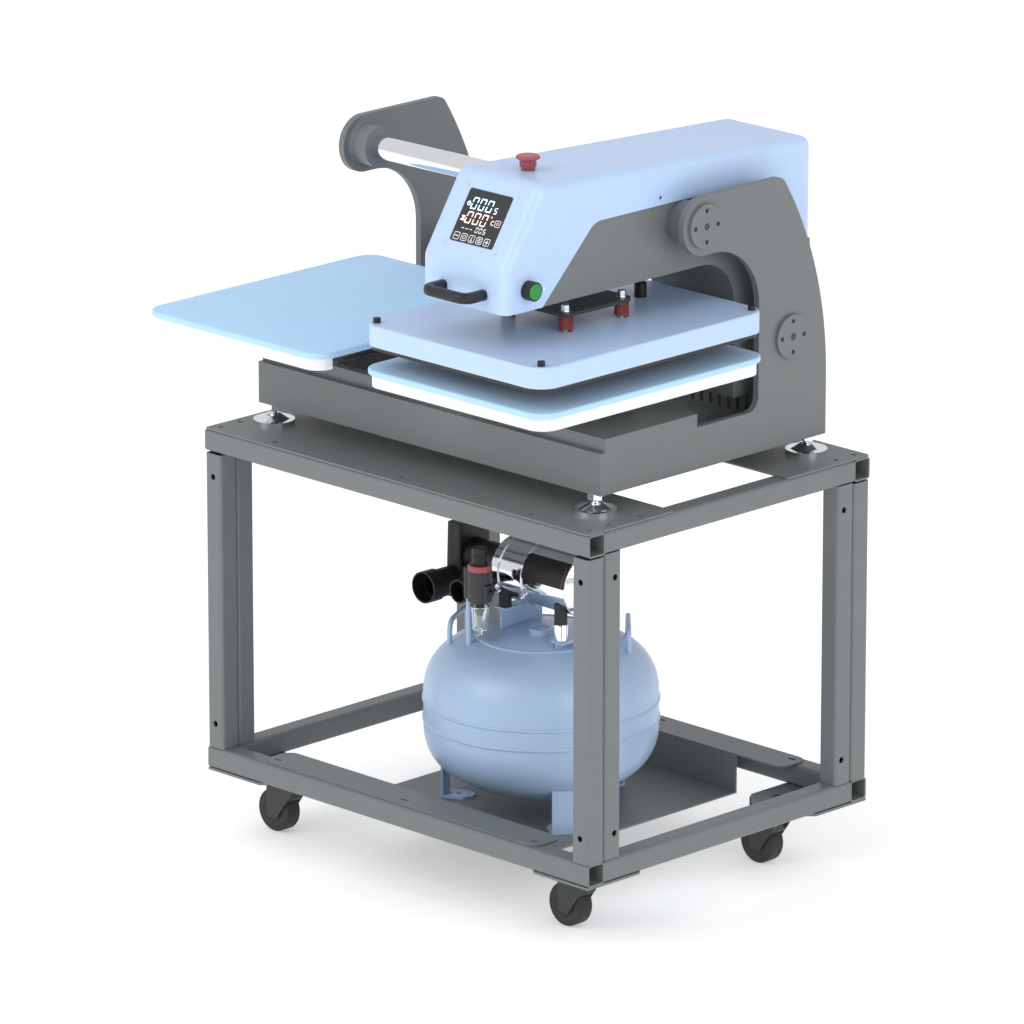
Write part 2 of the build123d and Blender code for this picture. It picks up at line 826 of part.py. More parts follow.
def shell_line(radius, dome):
    """Draw half of the shroud's outline from its open left end to the tip of its dome."""
    sphere = (radius ** 2 + dome ** 2) / (2 * dome)
    half_way = sqrt(sphere ** 2 - (radius / 2) ** 2) - sphere + dome
    Line((motor_start, 0), (motor_start, radius))
    Line((motor_start, radius), (motor_end, radius))
    ThreePointArc((motor_end, radius), (motor_end + half_way, radius / 2), (motor_end + dome, 0))
    Line((motor_end + dome, 0), (motor_start, 0))


shell_plane = Plane(origin=(0, tank_y, motor_z), x_dir=(1, 0, 0), z_dir=(0, -1, 0))
shell_axis = Axis((0, tank_y, motor_z), (1, 0, 0))
with BuildPart() as shroud:
    with BuildSketch(shell_plane):
        with BuildLine():
            shell_line(motor_radius, motor_dome)
        make_face()
    revolve(axis=shell_axis)
    with BuildSketch(shell_plane):
        with BuildLine():
            shell_line(shroud_inner, motor_dome - motor_shroud_wall)
        make_face()
    revolve(axis=shell_axis, mode=Mode.SUBTRACT)
save(shroud, "motor_shroud")

stator_r = shroud_inner - pin_gap
with BuildPart() as core:
    with BuildSketch(Plane.YZ.offset(motor_mid - shield_half)):
        with Locations((tank_y, motor_z)):
            Circle(stator_r)
            Circle(stator_r - shield_thick, mode=Mode.SUBTRACT)
    extrude(amount=2 * shield_half)
    with BuildSketch(Plane.YZ.offset(motor_mid - stator_half)):
        with Locations((tank_y, motor_z)):
            Circle(stator_r)
            Circle(stator_bore, mode=Mode.SUBTRACT)
    extrude(amount=2 * stator_half)
    for shield_x in (motor_mid - shield_half, motor_mid + shield_half - shield_thick):
        with BuildSketch(Plane.YZ.offset(shield_x)):
            with Locations((tank_y, motor_z)):
                Circle(stator_r)
                Circle(shaft_dia / 2 + pin_gap, mode=Mode.SUBTRACT)
        extrude(amount=shield_thick)
save(core, "motor_core")

fan_left = motor_mid + shield_half + seat_gap + fan_room
with BuildPart() as rotor:
    with BuildSketch(Plane.YZ.offset(motor_mid - stator_half + shield_thick)):
        with Locations((tank_y, motor_z)):
            Circle(stator_bore - air_gap)
    extrude(amount=2 * (stator_half - shield_thick))
    with BuildSketch(Plane.YZ.offset(motor_mid - shield_half - shield_thick)):
        with Locations((tank_y, motor_z)):
            Circle(shaft_dia / 2)
    extrude(amount=2 * shield_half + 2 * shield_thick + fan_thick)
    with BuildSketch(Plane.YZ.offset(fan_left)):
        with Locations((tank_y, motor_z)):
            Circle(shaft_dia)
            with PolarLocations(fan_radius / 2, fan_blades):
                Rectangle(fan_radius, fan_thick)
    extrude(amount=fan_thick)
save(rotor, "motor_rotor")

# Black cover over the front of the shroud
with BuildPart() as pump_cover:
    with BuildSketch(Plane.YZ.offset(tank_x + pump_cover_left)):
        with BuildLine():
            low_r = motor_radius + foot_gap
            high_r = low_r + pump_cover_thick
            first = radians(180 - pump_cover_from)
            last = radians(180 - pump_cover_to)
            middle = (first + last) / 2
            ring = [[(tank_y + r * cos(a), motor_z + r * sin(a)) for a in (first, middle, last)]
                    for r in (low_r, high_r)]
            ThreePointArc(*ring[0])
            Line(ring[0][2], ring[1][2])
            ThreePointArc(*ring[1])
            Line(ring[1][0], ring[0][0])
        make_face()
    extrude(amount=pump_cover_length)
save(pump_cover, "pump_cover")

# Filter housing whose duct ends in a cap set in the shroud's left end, and its two intake mouths
filter_x = tank_x + filter_from_tank
filter_low = tank_top + filter_low_above
filter_high = tank_top + filter_high_above
duct_end = motor_mid - shield_half - shield_thick - fan_room
with BuildPart() as filter_housing:
    for level, widen in ((filter_low, filter_taper), (filter_high, -filter_taper)):
        with BuildSketch(Plane.XY.offset(level)):
            with Locations((filter_x, tank_y)):
                RectangleRounded(filter_width + widen, filter_depth + widen, filter_corner)
    loft()
    with BuildSketch(Plane.YZ.offset(filter_x)):
        with Locations((tank_y, motor_z)):
            Circle(filter_duct_dia / 2)
    extrude(amount=duct_end - filter_x)
    with BuildSketch(Plane.YZ.offset(motor_start)):
        with Locations((tank_y, motor_z)):
            Circle(shroud_inner - pin_gap)
    extrude(amount=duct_end - motor_start)
save(filter_housing, "filter_housing")

mouth_front = tank_y - mouth_reach
filter_front = tank_y - (filter_depth + filter_taper) / 2
mouth_small_x = tank_x + mouth_small_from_tank
mouth_places = (
    (filter_x, tank_top + mouth_large_above, mouth_large_dia, filter_front - mouth_front),
    (mouth_small_x, tank_top + mouth_small_above, mouth_small_dia, mouth_small_length),
)
with BuildPart() as mouths:
    for mouth_x, mouth_z, mouth_dia, mouth_length in mouth_places:
        with BuildSketch(Plane.XZ.offset(-mouth_front)):
            with Locations((mouth_x, mouth_z)):
                Circle(mouth_dia / 2)
        extrude(amount=-mouth_rim)
        with BuildSketch(Plane.XZ.offset(-mouth_front)):
            with Locations((mouth_x, mouth_z)):
                Circle(mouth_dia / 2 - mouth_step)
        extrude(amount=-mouth_length)
        with BuildSketch(Plane.XZ.offset(-mouth_front)):
            with Locations((mouth_x, mouth_z)):
                Circle(mouth_dia / 2 - mouth_step - mouth_wall)
        extrude(amount=-(mouth_length - mouth_floor), mode=Mode.SUBTRACT)
        with BuildSketch(Plane.XZ.offset(-mouth_front)):
            with Locations((mouth_x, mouth_z)):
                Circle(mouth_dia / 2 - mouth_wall)
        extrude(amount=-(mouth_rim - mouth_wall), mode=Mode.SUBTRACT)
    with BuildSketch(Plane.YZ.offset(filter_x + filter_width)):
        with Locations((tank_y, motor_z)):
            Circle(filter_duct_dia / 2 + seat_gap)
    extrude(amount=duct_end - filter_x - filter_width, mode=Mode.SUBTRACT)
save(mouths, "intake_mouths")

# Pressure regulator: body with a square port, red ring, knob on a spindle, clear bowl
reg_body_top = reg_body_low + reg_body_height
with BuildPart() as reg_body:
    with BuildSketch(Plane.XY.offset(reg_body_low)):
        with Locations((reg_x, reg_y)):
            Circle(reg_body_radius)
        with Locations((post_x, reg_y)):
            Circle(reg_post_dia / 2 + reg_post_arm)
    extrude(amount=reg_body_height)
    port_plane = Plane.YZ.offset(reg_x)
    with BuildSketch(port_plane):
        with Locations((reg_y, reg_body_low + reg_port_low + reg_port / 2)):
            Rectangle(reg_port, reg_port)
    extrude(amount=reg_body_radius + reg_post_arm)
    with BuildSketch(port_plane.offset(reg_body_radius)):
        with Locations((reg_y, reg_body_low + reg_port_low + reg_port / 2)):
            Circle(reg_port_hole / 2)
    extrude(amount=reg_body_radius, both=True, mode=Mode.SUBTRACT)
    with BuildSketch(Plane.XY.offset(reg_body_low)):
        with Locations((reg_x, reg_y)):
            Circle(reg_neck_dia / 2)
    extrude(amount=-reg_neck)
    with BuildSketch(Plane.XY.offset(reg_body_top)):
        with Locations((reg_x, reg_y)):
            Circle(reg_spindle_dia / 2)
    extrude(amount=reg_ring_height + seat_gap + reg_spindle_length)
save(reg_body, "regulator_body")

with BuildPart() as reg_ring:
    with BuildSketch(Plane.XY.offset(reg_body_top)):
        with Locations((reg_x, reg_y)):
            Circle(reg_ring_radius)
            Circle(reg_spindle_dia / 2 + seat_gap, mode=Mode.SUBTRACT)
    extrude(amount=reg_ring_height)
save(reg_ring, "regulator_ring")

knob_low = reg_body_top + reg_ring_height + seat_gap
with BuildPart() as reg_knob:
    with BuildSketch(Plane.XY.offset(knob_low)):
        with Locations((reg_x, reg_y)):
            Circle(reg_knob_radius)
    extrude(amount=reg_knob_height)
    with BuildSketch(Plane.XY.offset(knob_low)):
        with Locations((reg_x, reg_y)):
            Circle(reg_spindle_dia / 2 + pin_gap)
    extrude(amount=reg_spindle_length + seat_gap, mode=Mode.SUBTRACT)
    with BuildSketch(Plane.XY.offset(knob_low + reg_knob_height / 3)):
        with Locations((reg_x, reg_y)):
            with PolarLocations(reg_knob_radius, reg_knob_flutes):
                Circle(reg_flute_r)
    extrude(amount=reg_knob_height / 3, mode=Mode.SUBTRACT)
save(reg_knob, "regulator_knob")

with BuildPart() as bowl:
    bowl_top = reg_body_low - reg_neck
    with BuildSketch(Plane.XY.offset(bowl_top)):
        with Locations((reg_x, reg_y)):
            Circle(bowl_radius)
    extrude(amount=-bowl_height, taper=bowl_draft)
    with BuildSketch(Plane.XY.offset(bowl_top - bowl_wall)):
        with Locations((reg_x, reg_y)):
            Circle(bowl_radius - bowl_wall)
    extrude(amount=-(bowl_height - 2 * bowl_wall), taper=bowl_draft, mode=Mode.SUBTRACT)
    with BuildSketch(Plane.XY.offset(bowl_top - bowl_height)):
        with Locations((reg_x, reg_y)):
            Circle(drain_dia / 2)
    extrude(amount=-drain_length)
save(bowl, "water_bowl")

# Press bed: side plates with a throat that the tables and the platen pass through
plate_inner_x = bed_width / 2 - side_plate


def side_plate_outline():
    """The side plate's outline in the YZ plane, drawn from its front foot round to the rear."""
    low = bed_bottom
    shelf = deck_top - rear_shelf_drop
    throat = bed_front + throat_y
    rear = bed_front + bed_depth
    front_face = bed_front + deck_sheet
    step = bed_front + front_ledge
    throat_high = low + throat_top
    ledge_z = low + front_panel_height - deck_sheet
    head_y = bed_front + upper_rail_y
    head_z = low + upper_rail_z
    arc_low = low + plate_rear_start
    head_top = head_z + plate_head_radius
    rise = head_top - arc_low
    top_rear = rear - plate_rear_radius + sqrt(plate_rear_radius ** 2 - rise ** 2)
    half = asin(rise / plate_rear_radius) / 2
    arc_core = rear - plate_rear_radius
    mid = (arc_core + plate_rear_radius * cos(half), arc_low + plate_rear_radius * sin(half))
    Polyline(
        (throat - throat_low_radius, shelf),
        (bed_front + deck_depth + front_ledge, shelf),
        (bed_front + deck_depth + front_ledge, deck_top),
        (step, deck_top),
        (step, ledge_z),
        (front_face, ledge_z),
        (front_face, low),
        (rear, low),
        (rear, arc_low),
    )
    ThreePointArc((rear, arc_low), mid, (top_rear, head_top))
    Line((top_rear, head_top), (head_y, head_top))
    CenterArc((head_y, head_z), plate_head_radius, 90, 180)
    Line((head_y, head_z - plate_head_radius), (throat - throat_radius, throat_high))
    CenterArc((throat - throat_radius, throat_high - throat_radius), throat_radius, 90, -90)
    Line((throat, throat_high - throat_radius), (throat, shelf + throat_low_radius))
    CenterArc((throat - throat_low_radius, shelf + throat_low_radius), throat_low_radius, 0, -90)
    return (top_rear, head_top)


rail_places = (
    (bed_front + upper_rail_y, bed_bottom + upper_rail_z),
    (bed_front + lower_rail_y, bed_bottom + lower_rail_z),
)
for side, start in (("left", -bed_width / 2), ("right", plate_inner_x)):
    with BuildPart() as side_part:
        with BuildSketch(Plane.YZ.offset(start)) as outline:
            with BuildLine():
                corner = side_plate_outline()
            make_face()
            tip = outline.vertices().sort_by_distance((corner[0], corner[1], 0))[0]
            fillet(tip, plate_top_corner)
            with Locations(*rail_places):
                Circle(rail_dia / 2 + pin_gap, mode=Mode.SUBTRACT)
        extrude(amount=side_plate)
    save(side_part, f"{side}_side_plate")

# Front panel with its narrow top ledge
with BuildPart() as front_panel:
    with BuildSketch(Plane.YZ.offset(-bed_width / 2)):
        with BuildLine():
            panel_top = bed_bottom + front_panel_height
            Polyline(
                (bed_front, bed_bottom),
                (bed_front + deck_sheet, bed_bottom),
                (bed_front + deck_sheet, panel_top - deck_sheet),
                (bed_front + front_ledge, panel_top - deck_sheet),
                (bed_front + front_ledge, panel_top),
                (bed_front, panel_top),
                close=True,
            )
        make_face()
    extrude(amount=bed_width)
save(front_panel, "bed_front_panel")

# Floor pan with its rear wall and a slotted wall ahead of it
pan_half = plate_inner_x
wall_y = bed_front + bed_depth - vent_wall_inset
with BuildPart() as pan:
    with BuildSketch(Plane.YZ.offset(-pan_half)):
        with BuildLine():
            wall_top = bed_bottom + vent_wall_height
            floor_top = bed_bottom + floor_sheet
            rear_y = bed_front + bed_depth
            Polyline(
                (bed_front + deck_sheet, bed_bottom),
                (rear_y, bed_bottom),
                (rear_y, wall_top),
                (rear_y - floor_sheet, wall_top),
                (rear_y - floor_sheet, floor_top),
                (wall_y + floor_sheet, floor_top),
                (wall_y + floor_sheet, wall_top),
                (wall_y, wall_top),
                (wall_y, floor_top),
                (bed_front + deck_sheet, floor_top),
                close=True,
            )
        make_face()
    extrude(amount=2 * pan_half)
    slot_run = bed_width - 2 * vent_slots_from_end
    with BuildSketch(Plane.XZ.offset(-(wall_y + 2 * floor_sheet))):
        with Locations((0, bed_bottom + vent_slot_low + vent_slot_height / 2)):
            with GridLocations(slot_run / (vent_slot_count - 1), 1, vent_slot_count, 1):
                Rectangle(vent_slot_width, vent_slot_height)
    extrude(amount=3 * floor_sheet, mode=Mode.SUBTRACT)
    with BuildSketch(Plane.XY.offset(bed_bottom)):
        for sx in ends:
            for foot_y in (foot_front_y, foot_rear_y):
                with Locations((sx * (bed_width / 2 - foot_inset_x), bed_front + foot_y)):
                    Circle(foot_stud_dia / 2 + pin_gap)
    extrude(amount=floor_sheet, mode=Mode.SUBTRACT)
save(pan, "bed_pan")

# Deck: two side decks joined by a strip along the front, with walls down to the pan
with BuildPart() as deck:
    deck_y0 = bed_front + front_ledge
    deck_y1 = deck_y0 + deck_depth
    with BuildSketch(Plane.XY.offset(deck_top - deck_sheet)):
        with Locations((0, (deck_y0 + deck_y1) / 2)):
            Rectangle(2 * pan_half, deck_depth)
        with Locations((0, (deck_y0 + deck_strip + deck_y1) / 2)):
            Rectangle(2 * deck_inner_x, deck_depth - deck_strip, mode=Mode.SUBTRACT)
    extrude(amount=deck_sheet)
    wall_low = bed_bottom + floor_sheet
    wall_height = deck_top - wall_low
    with BuildSketch(Plane.XY.offset(wall_low)):
        with Locations((0, deck_y0 + deck_sheet / 2)):
            Rectangle(2 * pan_half, deck_sheet)
        for sx in ends:
            with Locations((sx * (deck_inner_x + deck_sheet / 2), (deck_y0 + deck_y1) / 2)):
                Rectangle(deck_sheet, deck_depth)
            rear_half = (pan_half - deck_inner_x) / 2
            with Locations((sx * (deck_inner_x + rear_half), deck_y1 - deck_sheet / 2)):
                Rectangle(2 * rear_half, deck_sheet)
    extrude(amount=wall_height)
    with BuildSketch(Plane.XY.offset(wall_low)):
        for sx in ends:
            with Locations((sx * (bed_width / 2 - foot_inset_x), bed_front + foot_front_y)):
                Circle(foot_stud_dia)
    extrude(amount=foot_stud_above + foot_stud_room, mode=Mode.SUBTRACT)
save(deck, "bed_deck")

# Slide rails, their sockets inside the side plates and the discs outside
with BuildPart() as rails:
    with BuildSketch(Plane.YZ.offset(-bed_width / 2)):
        with Locations(*rail_places):
            Circle(rail_dia / 2)
    extrude(amount=bed_width)
save(rails, "slide_rails")

with BuildPart() as flanges:
    for start in (-plate_inner_x, plate_inner_x - socket_length):
        with BuildSketch(Plane.YZ.offset(start)):
            with Locations(*rail_places):
                Circle(socket_dia / 2)
                Circle(rail_dia / 2 + pin_gap, mode=Mode.SUBTRACT)
        extrude(amount=socket_length)
    for start in (-bed_width / 2 - disc_thick, bed_width / 2):
        with BuildSketch(Plane.YZ.offset(start)):
            with Locations(*rail_places):
                Circle(disc_dia / 2)
                Circle(disc_centre_hole_r, mode=Mode.SUBTRACT)
                with PolarLocations(disc_hole_circle / 2, 4):
                    Circle(disc_hole_r, mode=Mode.SUBTRACT)
        extrude(amount=disc_thick)
save(flanges, "rail_flanges")

# Levelling feet between the stand's top plates and the bed's pan
with BuildPart() as feet:
    for sx in ends:
        for foot_y in (foot_front_y, foot_rear_y):
            centre = (sx * (bed_width / 2 - foot_inset_x), bed_front + foot_y)
            with BuildSketch(Plane.XY.offset(stand_top)):
                with Locations(centre):
                    Circle(foot_disc_dia / 2)
            extrude(amount=foot_disc_thick)
            cone_low = stand_top + foot_disc_thick
            with BuildSketch(Plane.XY.offset(cone_low)):
                with Locations(centre):
                    Circle(foot_cone_base_r)
            with BuildSketch(Plane.XY.offset(cone_low + foot_cone_height)):
                with Locations(centre):
                    Circle(foot_cone_top_r)
            loft()
            with BuildSketch(Plane.XY.offset(cone_low)):
                with Locations(centre):
                    Circle(foot_stud_dia / 2)
            extrude(amount=bed_bottom + foot_stud_above - cone_low)
            with BuildSketch(Plane.XY.offset(bed_bottom - foot_nut_thick)):
                with Locations(centre):
                    RegularPolygon(foot_nut_flats / 2, 6, major_radius=False)
            extrude(amount=foot_nut_thick)
save(feet, "levelling_feet")

# Lower tables: pedestals on the deck, folded trays and their pads
with BuildPart() as pedestals:
    for sx in ends:
        base_x = sx * (deck_inner_x + pedestal_inner + pedestal_width / 2)
        base_y = bed_front + front_ledge + deck_depth / 2
        with BuildSketch(Plane.XY.offset(deck_top)):
            with Locations((base_x, base_y)):
                Rectangle(pedestal_width, pedestal_length)
        extrude(amount=pedestal_flange)
        top_z = tray_top - table_sheet
        with BuildSketch(Plane.XY.offset(deck_top + pedestal_flange)):
            with Locations((base_x, base_y)):
                Rectangle(pedestal_column_x, pedestal_column_y)
                inner_x = pedestal_column_x - 2 * pedestal_wall
                inner_y = pedestal_column_y - 2 * pedestal_wall
                Rectangle(inner_x, inner_y, mode=Mode.SUBTRACT)
        extrude(amount=top_z - 2 * pedestal_flange - deck_top)
        with BuildSketch(Plane.XY.offset(top_z - pedestal_flange)):
            with Locations((sx * table_centre_x, base_y)):
                Rectangle(pedestal_top_x, pedestal_top_y)
        extrude(amount=pedestal_flange)
save(pedestals, "table_pedestals")

with BuildPart() as table_trays:
    for sx in ends:
        centre = (sx * table_centre_x, table_centre_y)
        with BuildSketch(Plane.XY.offset(tray_top - table_lip)):
            with Locations(centre):
                RectangleRounded(table_width, table_length, table_radius)
        extrude(amount=table_lip)
        with BuildSketch(Plane.XY.offset(tray_top - table_lip)):
            with Locations(centre):
                hollow_x = table_width - 2 * table_sheet
                hollow_y = table_length - 2 * table_sheet
                RectangleRounded(hollow_x, hollow_y, table_radius - table_sheet)
            inner_edge = sx * (table_centre_x - table_width / 2)
            with Locations((inner_edge, table_centre_y)):
                Rectangle(2 * table_radius, table_length - 2 * table_radius)
        extrude(amount=table_lip - table_sheet, mode=Mode.SUBTRACT)
save(table_trays, "table_trays")

with BuildPart() as pads:
    for sx in ends:
        with BuildSketch(Plane.XY.offset(tray_top)):
            with Locations((sx * table_centre_x, table_centre_y)):
                RectangleRounded(pad_width, pad_length, pad_radius)
        extrude(amount=pad_thick)
save(pads, "table_pads")

# Carriage: two side plates, a bent web under the arm and a rear sheet
carriage_inner = carriage_width / 2 - carriage_plate
head_front = bed_front - head_reach
skin_inset = cover_sheet + cover_gap
plate_inset = cover_side_bend + cover_gap
plate_front = head_front + plate_inset
cover_low = arm_z
slope_y = head_front + cover_slope_run
slope_z = cover_low + cover_front_height + cover_slope_rise
front_z = cover_low + cover_front_height
cover_rear = bed_front + cover_rear_y


def cover_outline(inset):
    """The hood's side outline, moved in by the inset, from its front foot round to the rear."""
    slope_len = sqrt(cover_slope_run ** 2 + cover_slope_rise ** 2)
    top_len = sqrt((cover_rear - slope_y) ** 2 + cover_top_drop ** 2)
    slope_in_y = inset * cover_slope_rise / slope_len
    slope_in_z = inset * cover_slope_run / slope_len
    front_y = head_front + inset
    rise = cover_slope_rise / cover_slope_run
    front_top = front_z + (front_y - head_front) * rise - slope_in_z - slope_in_y * rise
    fall = cover_top_drop / (cover_rear - slope_y)
    top_inset = inset * top_len / (cover_rear - slope_y)
    base = front_z - slope_in_z - slope_in_y * rise
    peak_y = (slope_z - top_inset + fall * slope_y - base + rise * head_front) / (rise + fall)
    peak_z = base + rise * (peak_y - head_front)
    rear_y = cover_rear - inset
    rear_z = slope_z - top_inset - fall * (rear_y - slope_y)
    return [(front_y, front_top), (peak_y, peak_z), (rear_y, rear_z)]


def hood_line(inset, low):
    """Draw the hood's closed outline down to a level and return its three bends."""
    front_top, peak, rear_top = cover_outline(inset)
    Polyline((front_top[0], low), front_top, peak, rear_top, (rear_top[0], low), close=True)
    return front_top, peak, rear_top


def round_hood(sketch, corners_at, inset):
    """Round the three bends of a hood face drawn in a YZ plane."""
    bends = (cover_front_bend, cover_top_bend, cover_rear_bend)
    for point, bend_radius in zip(corners_at, bends):
        vertex = sketch.vertices().sort_by_distance((point[0], point[1], 0))[0]
        fillet(vertex, bend_radius - inset)


estop_at_y = bed_front + estop_y
estop_surface_z = slope_z - cover_top_drop * (estop_at_y - slope_y) / (cover_rear - slope_y)
button_at_y = bed_front + button_y
button_z = arm_z + button_height
side_screw_places = [(bed_front + along, arm_z + up) for along, up in side_screws]
column_y0 = bed_front + column_front_y
column_y1 = bed_front + column_rear_y
column_z = bed_bottom + column_bottom
with BuildPart() as carriage_plates:
    for start in (carriage_x - carriage_width / 2, carriage_x + carriage_inner):
        with BuildSketch(Plane.YZ.offset(start)) as plate_sketch:
            with BuildLine():
                bends_at = hood_line(plate_inset, arm_z)
            make_face()
            round_hood(plate_sketch, bends_at, plate_inset)
            with BuildLine():
                bend_y = column_y0 - arm_bend_radius
                bend_z = arm_z - arm_bend_radius
                Polyline(
                    (bend_y, arm_z),
                    (bend_y, arm_z + cut_room),
                    (column_y1 - plate_inset, arm_z + cut_room),
                    (column_y1 - plate_inset, arm_z - cover_gap),
                    (column_y1 - skin_inset, arm_z - cover_gap),
                    (column_y1 - skin_inset, column_z),
                    (column_y0, column_z),
                    (column_y0, bend_z),
                )
                CenterArc((bend_y, bend_z), arm_bend_radius, 0, 90)
            make_face()
            with Locations(*rail_places):
                Circle(bush_dia / 2 + pin_gap, mode=Mode.SUBTRACT)
            with Locations(*side_screw_places):
                Circle(screw_shank_dia / 2 + pin_gap, mode=Mode.SUBTRACT)
        extrude(amount=carriage_plate)
    with BuildSketch(Plane.YZ.offset(carriage_x)):
        with Locations((button_at_y, button_z)):
            Circle(button_body_dia / 2 + seat_gap)
    extrude(amount=carriage_width, mode=Mode.SUBTRACT)
save(carriage_plates, "carriage_plates")

with BuildPart() as web:
    with BuildSketch(Plane.YZ.offset(carriage_x - carriage_inner)):
        with BuildLine():
            tail = column_z
            Line((plate_front, arm_z), (bend_y, arm_z))
            CenterArc((bend_y, bend_z), arm_bend_radius, 90, -90)
            Line((column_y0, bend_z), (column_y0, tail))
            Line((column_y0, tail), (column_y0 + web_sheet, tail))
            Line((column_y0 + web_sheet, tail), (column_y0 + web_sheet, bend_z))
            CenterArc((bend_y, bend_z), arm_bend_radius + web_sheet, 0, 90)
            Line((bend_y, arm_z + web_sheet), (plate_front, arm_z + web_sheet))
            Line((plate_front, arm_z + web_sheet), (plate_front, arm_z))
        make_face()
        with BuildLine():
            back = column_y1 - plate_inset
            Polyline(
                (back - web_sheet, column_z),
                (back, column_z),
                (back, arm_z + cover_raise),
                (back - web_sheet, arm_z + cover_raise),
                close=True,
            )
        make_face()
    extrude(amount=2 * carriage_inner)
    with BuildSketch(Plane.XY.offset(arm_z - cut_room)):
        with Locations((carriage_x, table_centre_y)):
            Circle(rod_dia / 2 + rod_room)
        with Locations((carriage_x, table_centre_y + gland_offset_y)):
            Circle(gland_neck_dia / 2 + gland_neck_room)
    extrude(amount=web_sheet + 2 * cut_room, mode=Mode.SUBTRACT)
save(web, "carriage_web")

# Flanged bushes that run on the rails
with BuildPart() as bushes:
    for sx in ends:
        outer_x = carriage_x + sx * carriage_width / 2
        inner_x = carriage_x + sx * carriage_inner
        with BuildSketch(Plane.YZ.offset(outer_x)):
            with Locations(*rail_places):
                Circle(bush_dia / 2)
        extrude(amount=-sx * bush_length)
        with BuildSketch(Plane.YZ.offset(inner_x)):
            with Locations(*rail_places):
                Circle(bush_flange_dia / 2)
        extrude(amount=-sx * bush_flange)
        with BuildSketch(Plane.YZ.offset(outer_x + sx * cut_room)):
            with Locations(*rail_places):
                Circle(rail_dia / 2 + pin_gap)
        extrude(amount=-sx * (bush_length + 2 * cut_room), mode=Mode.SUBTRACT)
save(bushes, "rail_bushes")

# Head cover: a bent sheet hood with cut-away sides
cover_half = carriage_width / 2 + cover_gap + cover_sheet
slope_plane = Plane(
    origin=(carriage_x, head_front, front_z),
    x_dir=(1, 0, 0),
    z_dir=(0, -cover_slope_rise, cover_slope_run),
)


def side_bends(block):
    """Edges round both end faces of a hood block, without the lower ones."""
    end_faces = block.faces().sort_by(Axis.X)
    return (end_faces[0].edges() + end_faces[-1].edges()).sort_by(Axis.Z)[2:]


inner_half = cover_half - cover_sheet
with BuildPart() as hood_core:
    with BuildSketch(Plane.YZ.offset(carriage_x - inner_half)) as hollow:
        with BuildLine():
            bends_at = hood_line(cover_sheet, cover_low - cut_room)
        make_face()
        round_hood(hollow, bends_at, cover_sheet)
    extrude(amount=2 * inner_half)
    fillet(side_bends(hood_core), cover_side_bend - cover_sheet)

with BuildPart() as cover:
    with BuildSketch(Plane.YZ.offset(carriage_x - cover_half)) as shell:
        with BuildLine():
            bends_at = hood_line(0, cover_low)
        make_face()
        round_hood(shell, bends_at, 0)
    extrude(amount=2 * cover_half)
    fillet(side_bends(cover), cover_side_bend)
    add(hood_core.part, mode=Mode.SUBTRACT)
    with BuildSketch(Plane.YZ.offset(carriage_x - cover_half)) as notch:
        notch_y0 = head_front + cover_diag_start
        notch_y1 = notch_y0 + cover_diag_run
        notch_y2 = cover_rear - cover_rear_skirt
        notch_top = arm_z + cover_raise
        with BuildLine():
            Polyline(
                (notch_y0, cover_low - cut_room),
                (notch_y1, notch_top),
                (notch_y2, notch_top),
                (notch_y2, cover_low - cut_room),
                close=True,
            )
        make_face()
        high = notch.vertices().group_by(Axis.Y)[-1]
        fillet(high, cover_notch_radius)
    extrude(amount=2 * cover_half, mode=Mode.SUBTRACT)
    with BuildSketch(slope_plane):
        with Locations((0, screen_centre_up)):
            hole_x = screen_width + 2 * seat_gap
            hole_y = screen_height + 2 * seat_gap
            RectangleRounded(hole_x, hole_y, screen_radius)
        with Locations((0, (screw_rows[0] + screw_rows[1]) / 2)):
            with GridLocations(screw_side, screw_rows[1] - screw_rows[0], 2, 2):
                Circle(screw_shank_dia / 2 + pin_gap)
    extrude(amount=3 * cover_sheet, both=True, mode=Mode.SUBTRACT)
    with BuildSketch(Plane.XY.offset(slope_z - 2 * cover_top_drop)):
        with Locations((carriage_x, estop_at_y)):
            Circle(estop_collar_dia / 2 + seat_gap)
    extrude(amount=3 * cover_top_drop, mode=Mode.SUBTRACT)
    with BuildSketch(Plane.YZ.offset(carriage_x)):
        with Locations((button_at_y, button_z)):
            Circle(button_body_dia / 2 + seat_gap)
    extrude(amount=carriage_width, mode=Mode.SUBTRACT)
    with BuildSketch(Plane.YZ.offset(carriage_x - carriage_width)):
        with Locations(*side_screw_places):
            Circle(screw_shank_dia / 2 + pin_gap)
    extrude(amount=2 * carriage_width, mode=Mode.SUBTRACT)
save(cover, "head_cover")

# Screen set in the sloped panel, its board behind, and the cover's screws
with BuildPart() as screen:
    with BuildSketch(slope_plane.offset(screen_proud - screen_thick)):
        with Locations((0, screen_centre_up)):
            RectangleRounded(screen_width, screen_height, screen_radius)
    extrude(amount=screen_thick)
save(screen, "control_screen")

with BuildPart() as board:
    with BuildSketch(slope_plane.offset(screen_proud - screen_thick - board_thick - seat_gap)):
        with Locations((0, screen_centre_up)):
            Rectangle(screen_width - 2 * board_margin, screen_height - 2 * board_margin)
    extrude(amount=board_thick)
save(board, "controller_board")

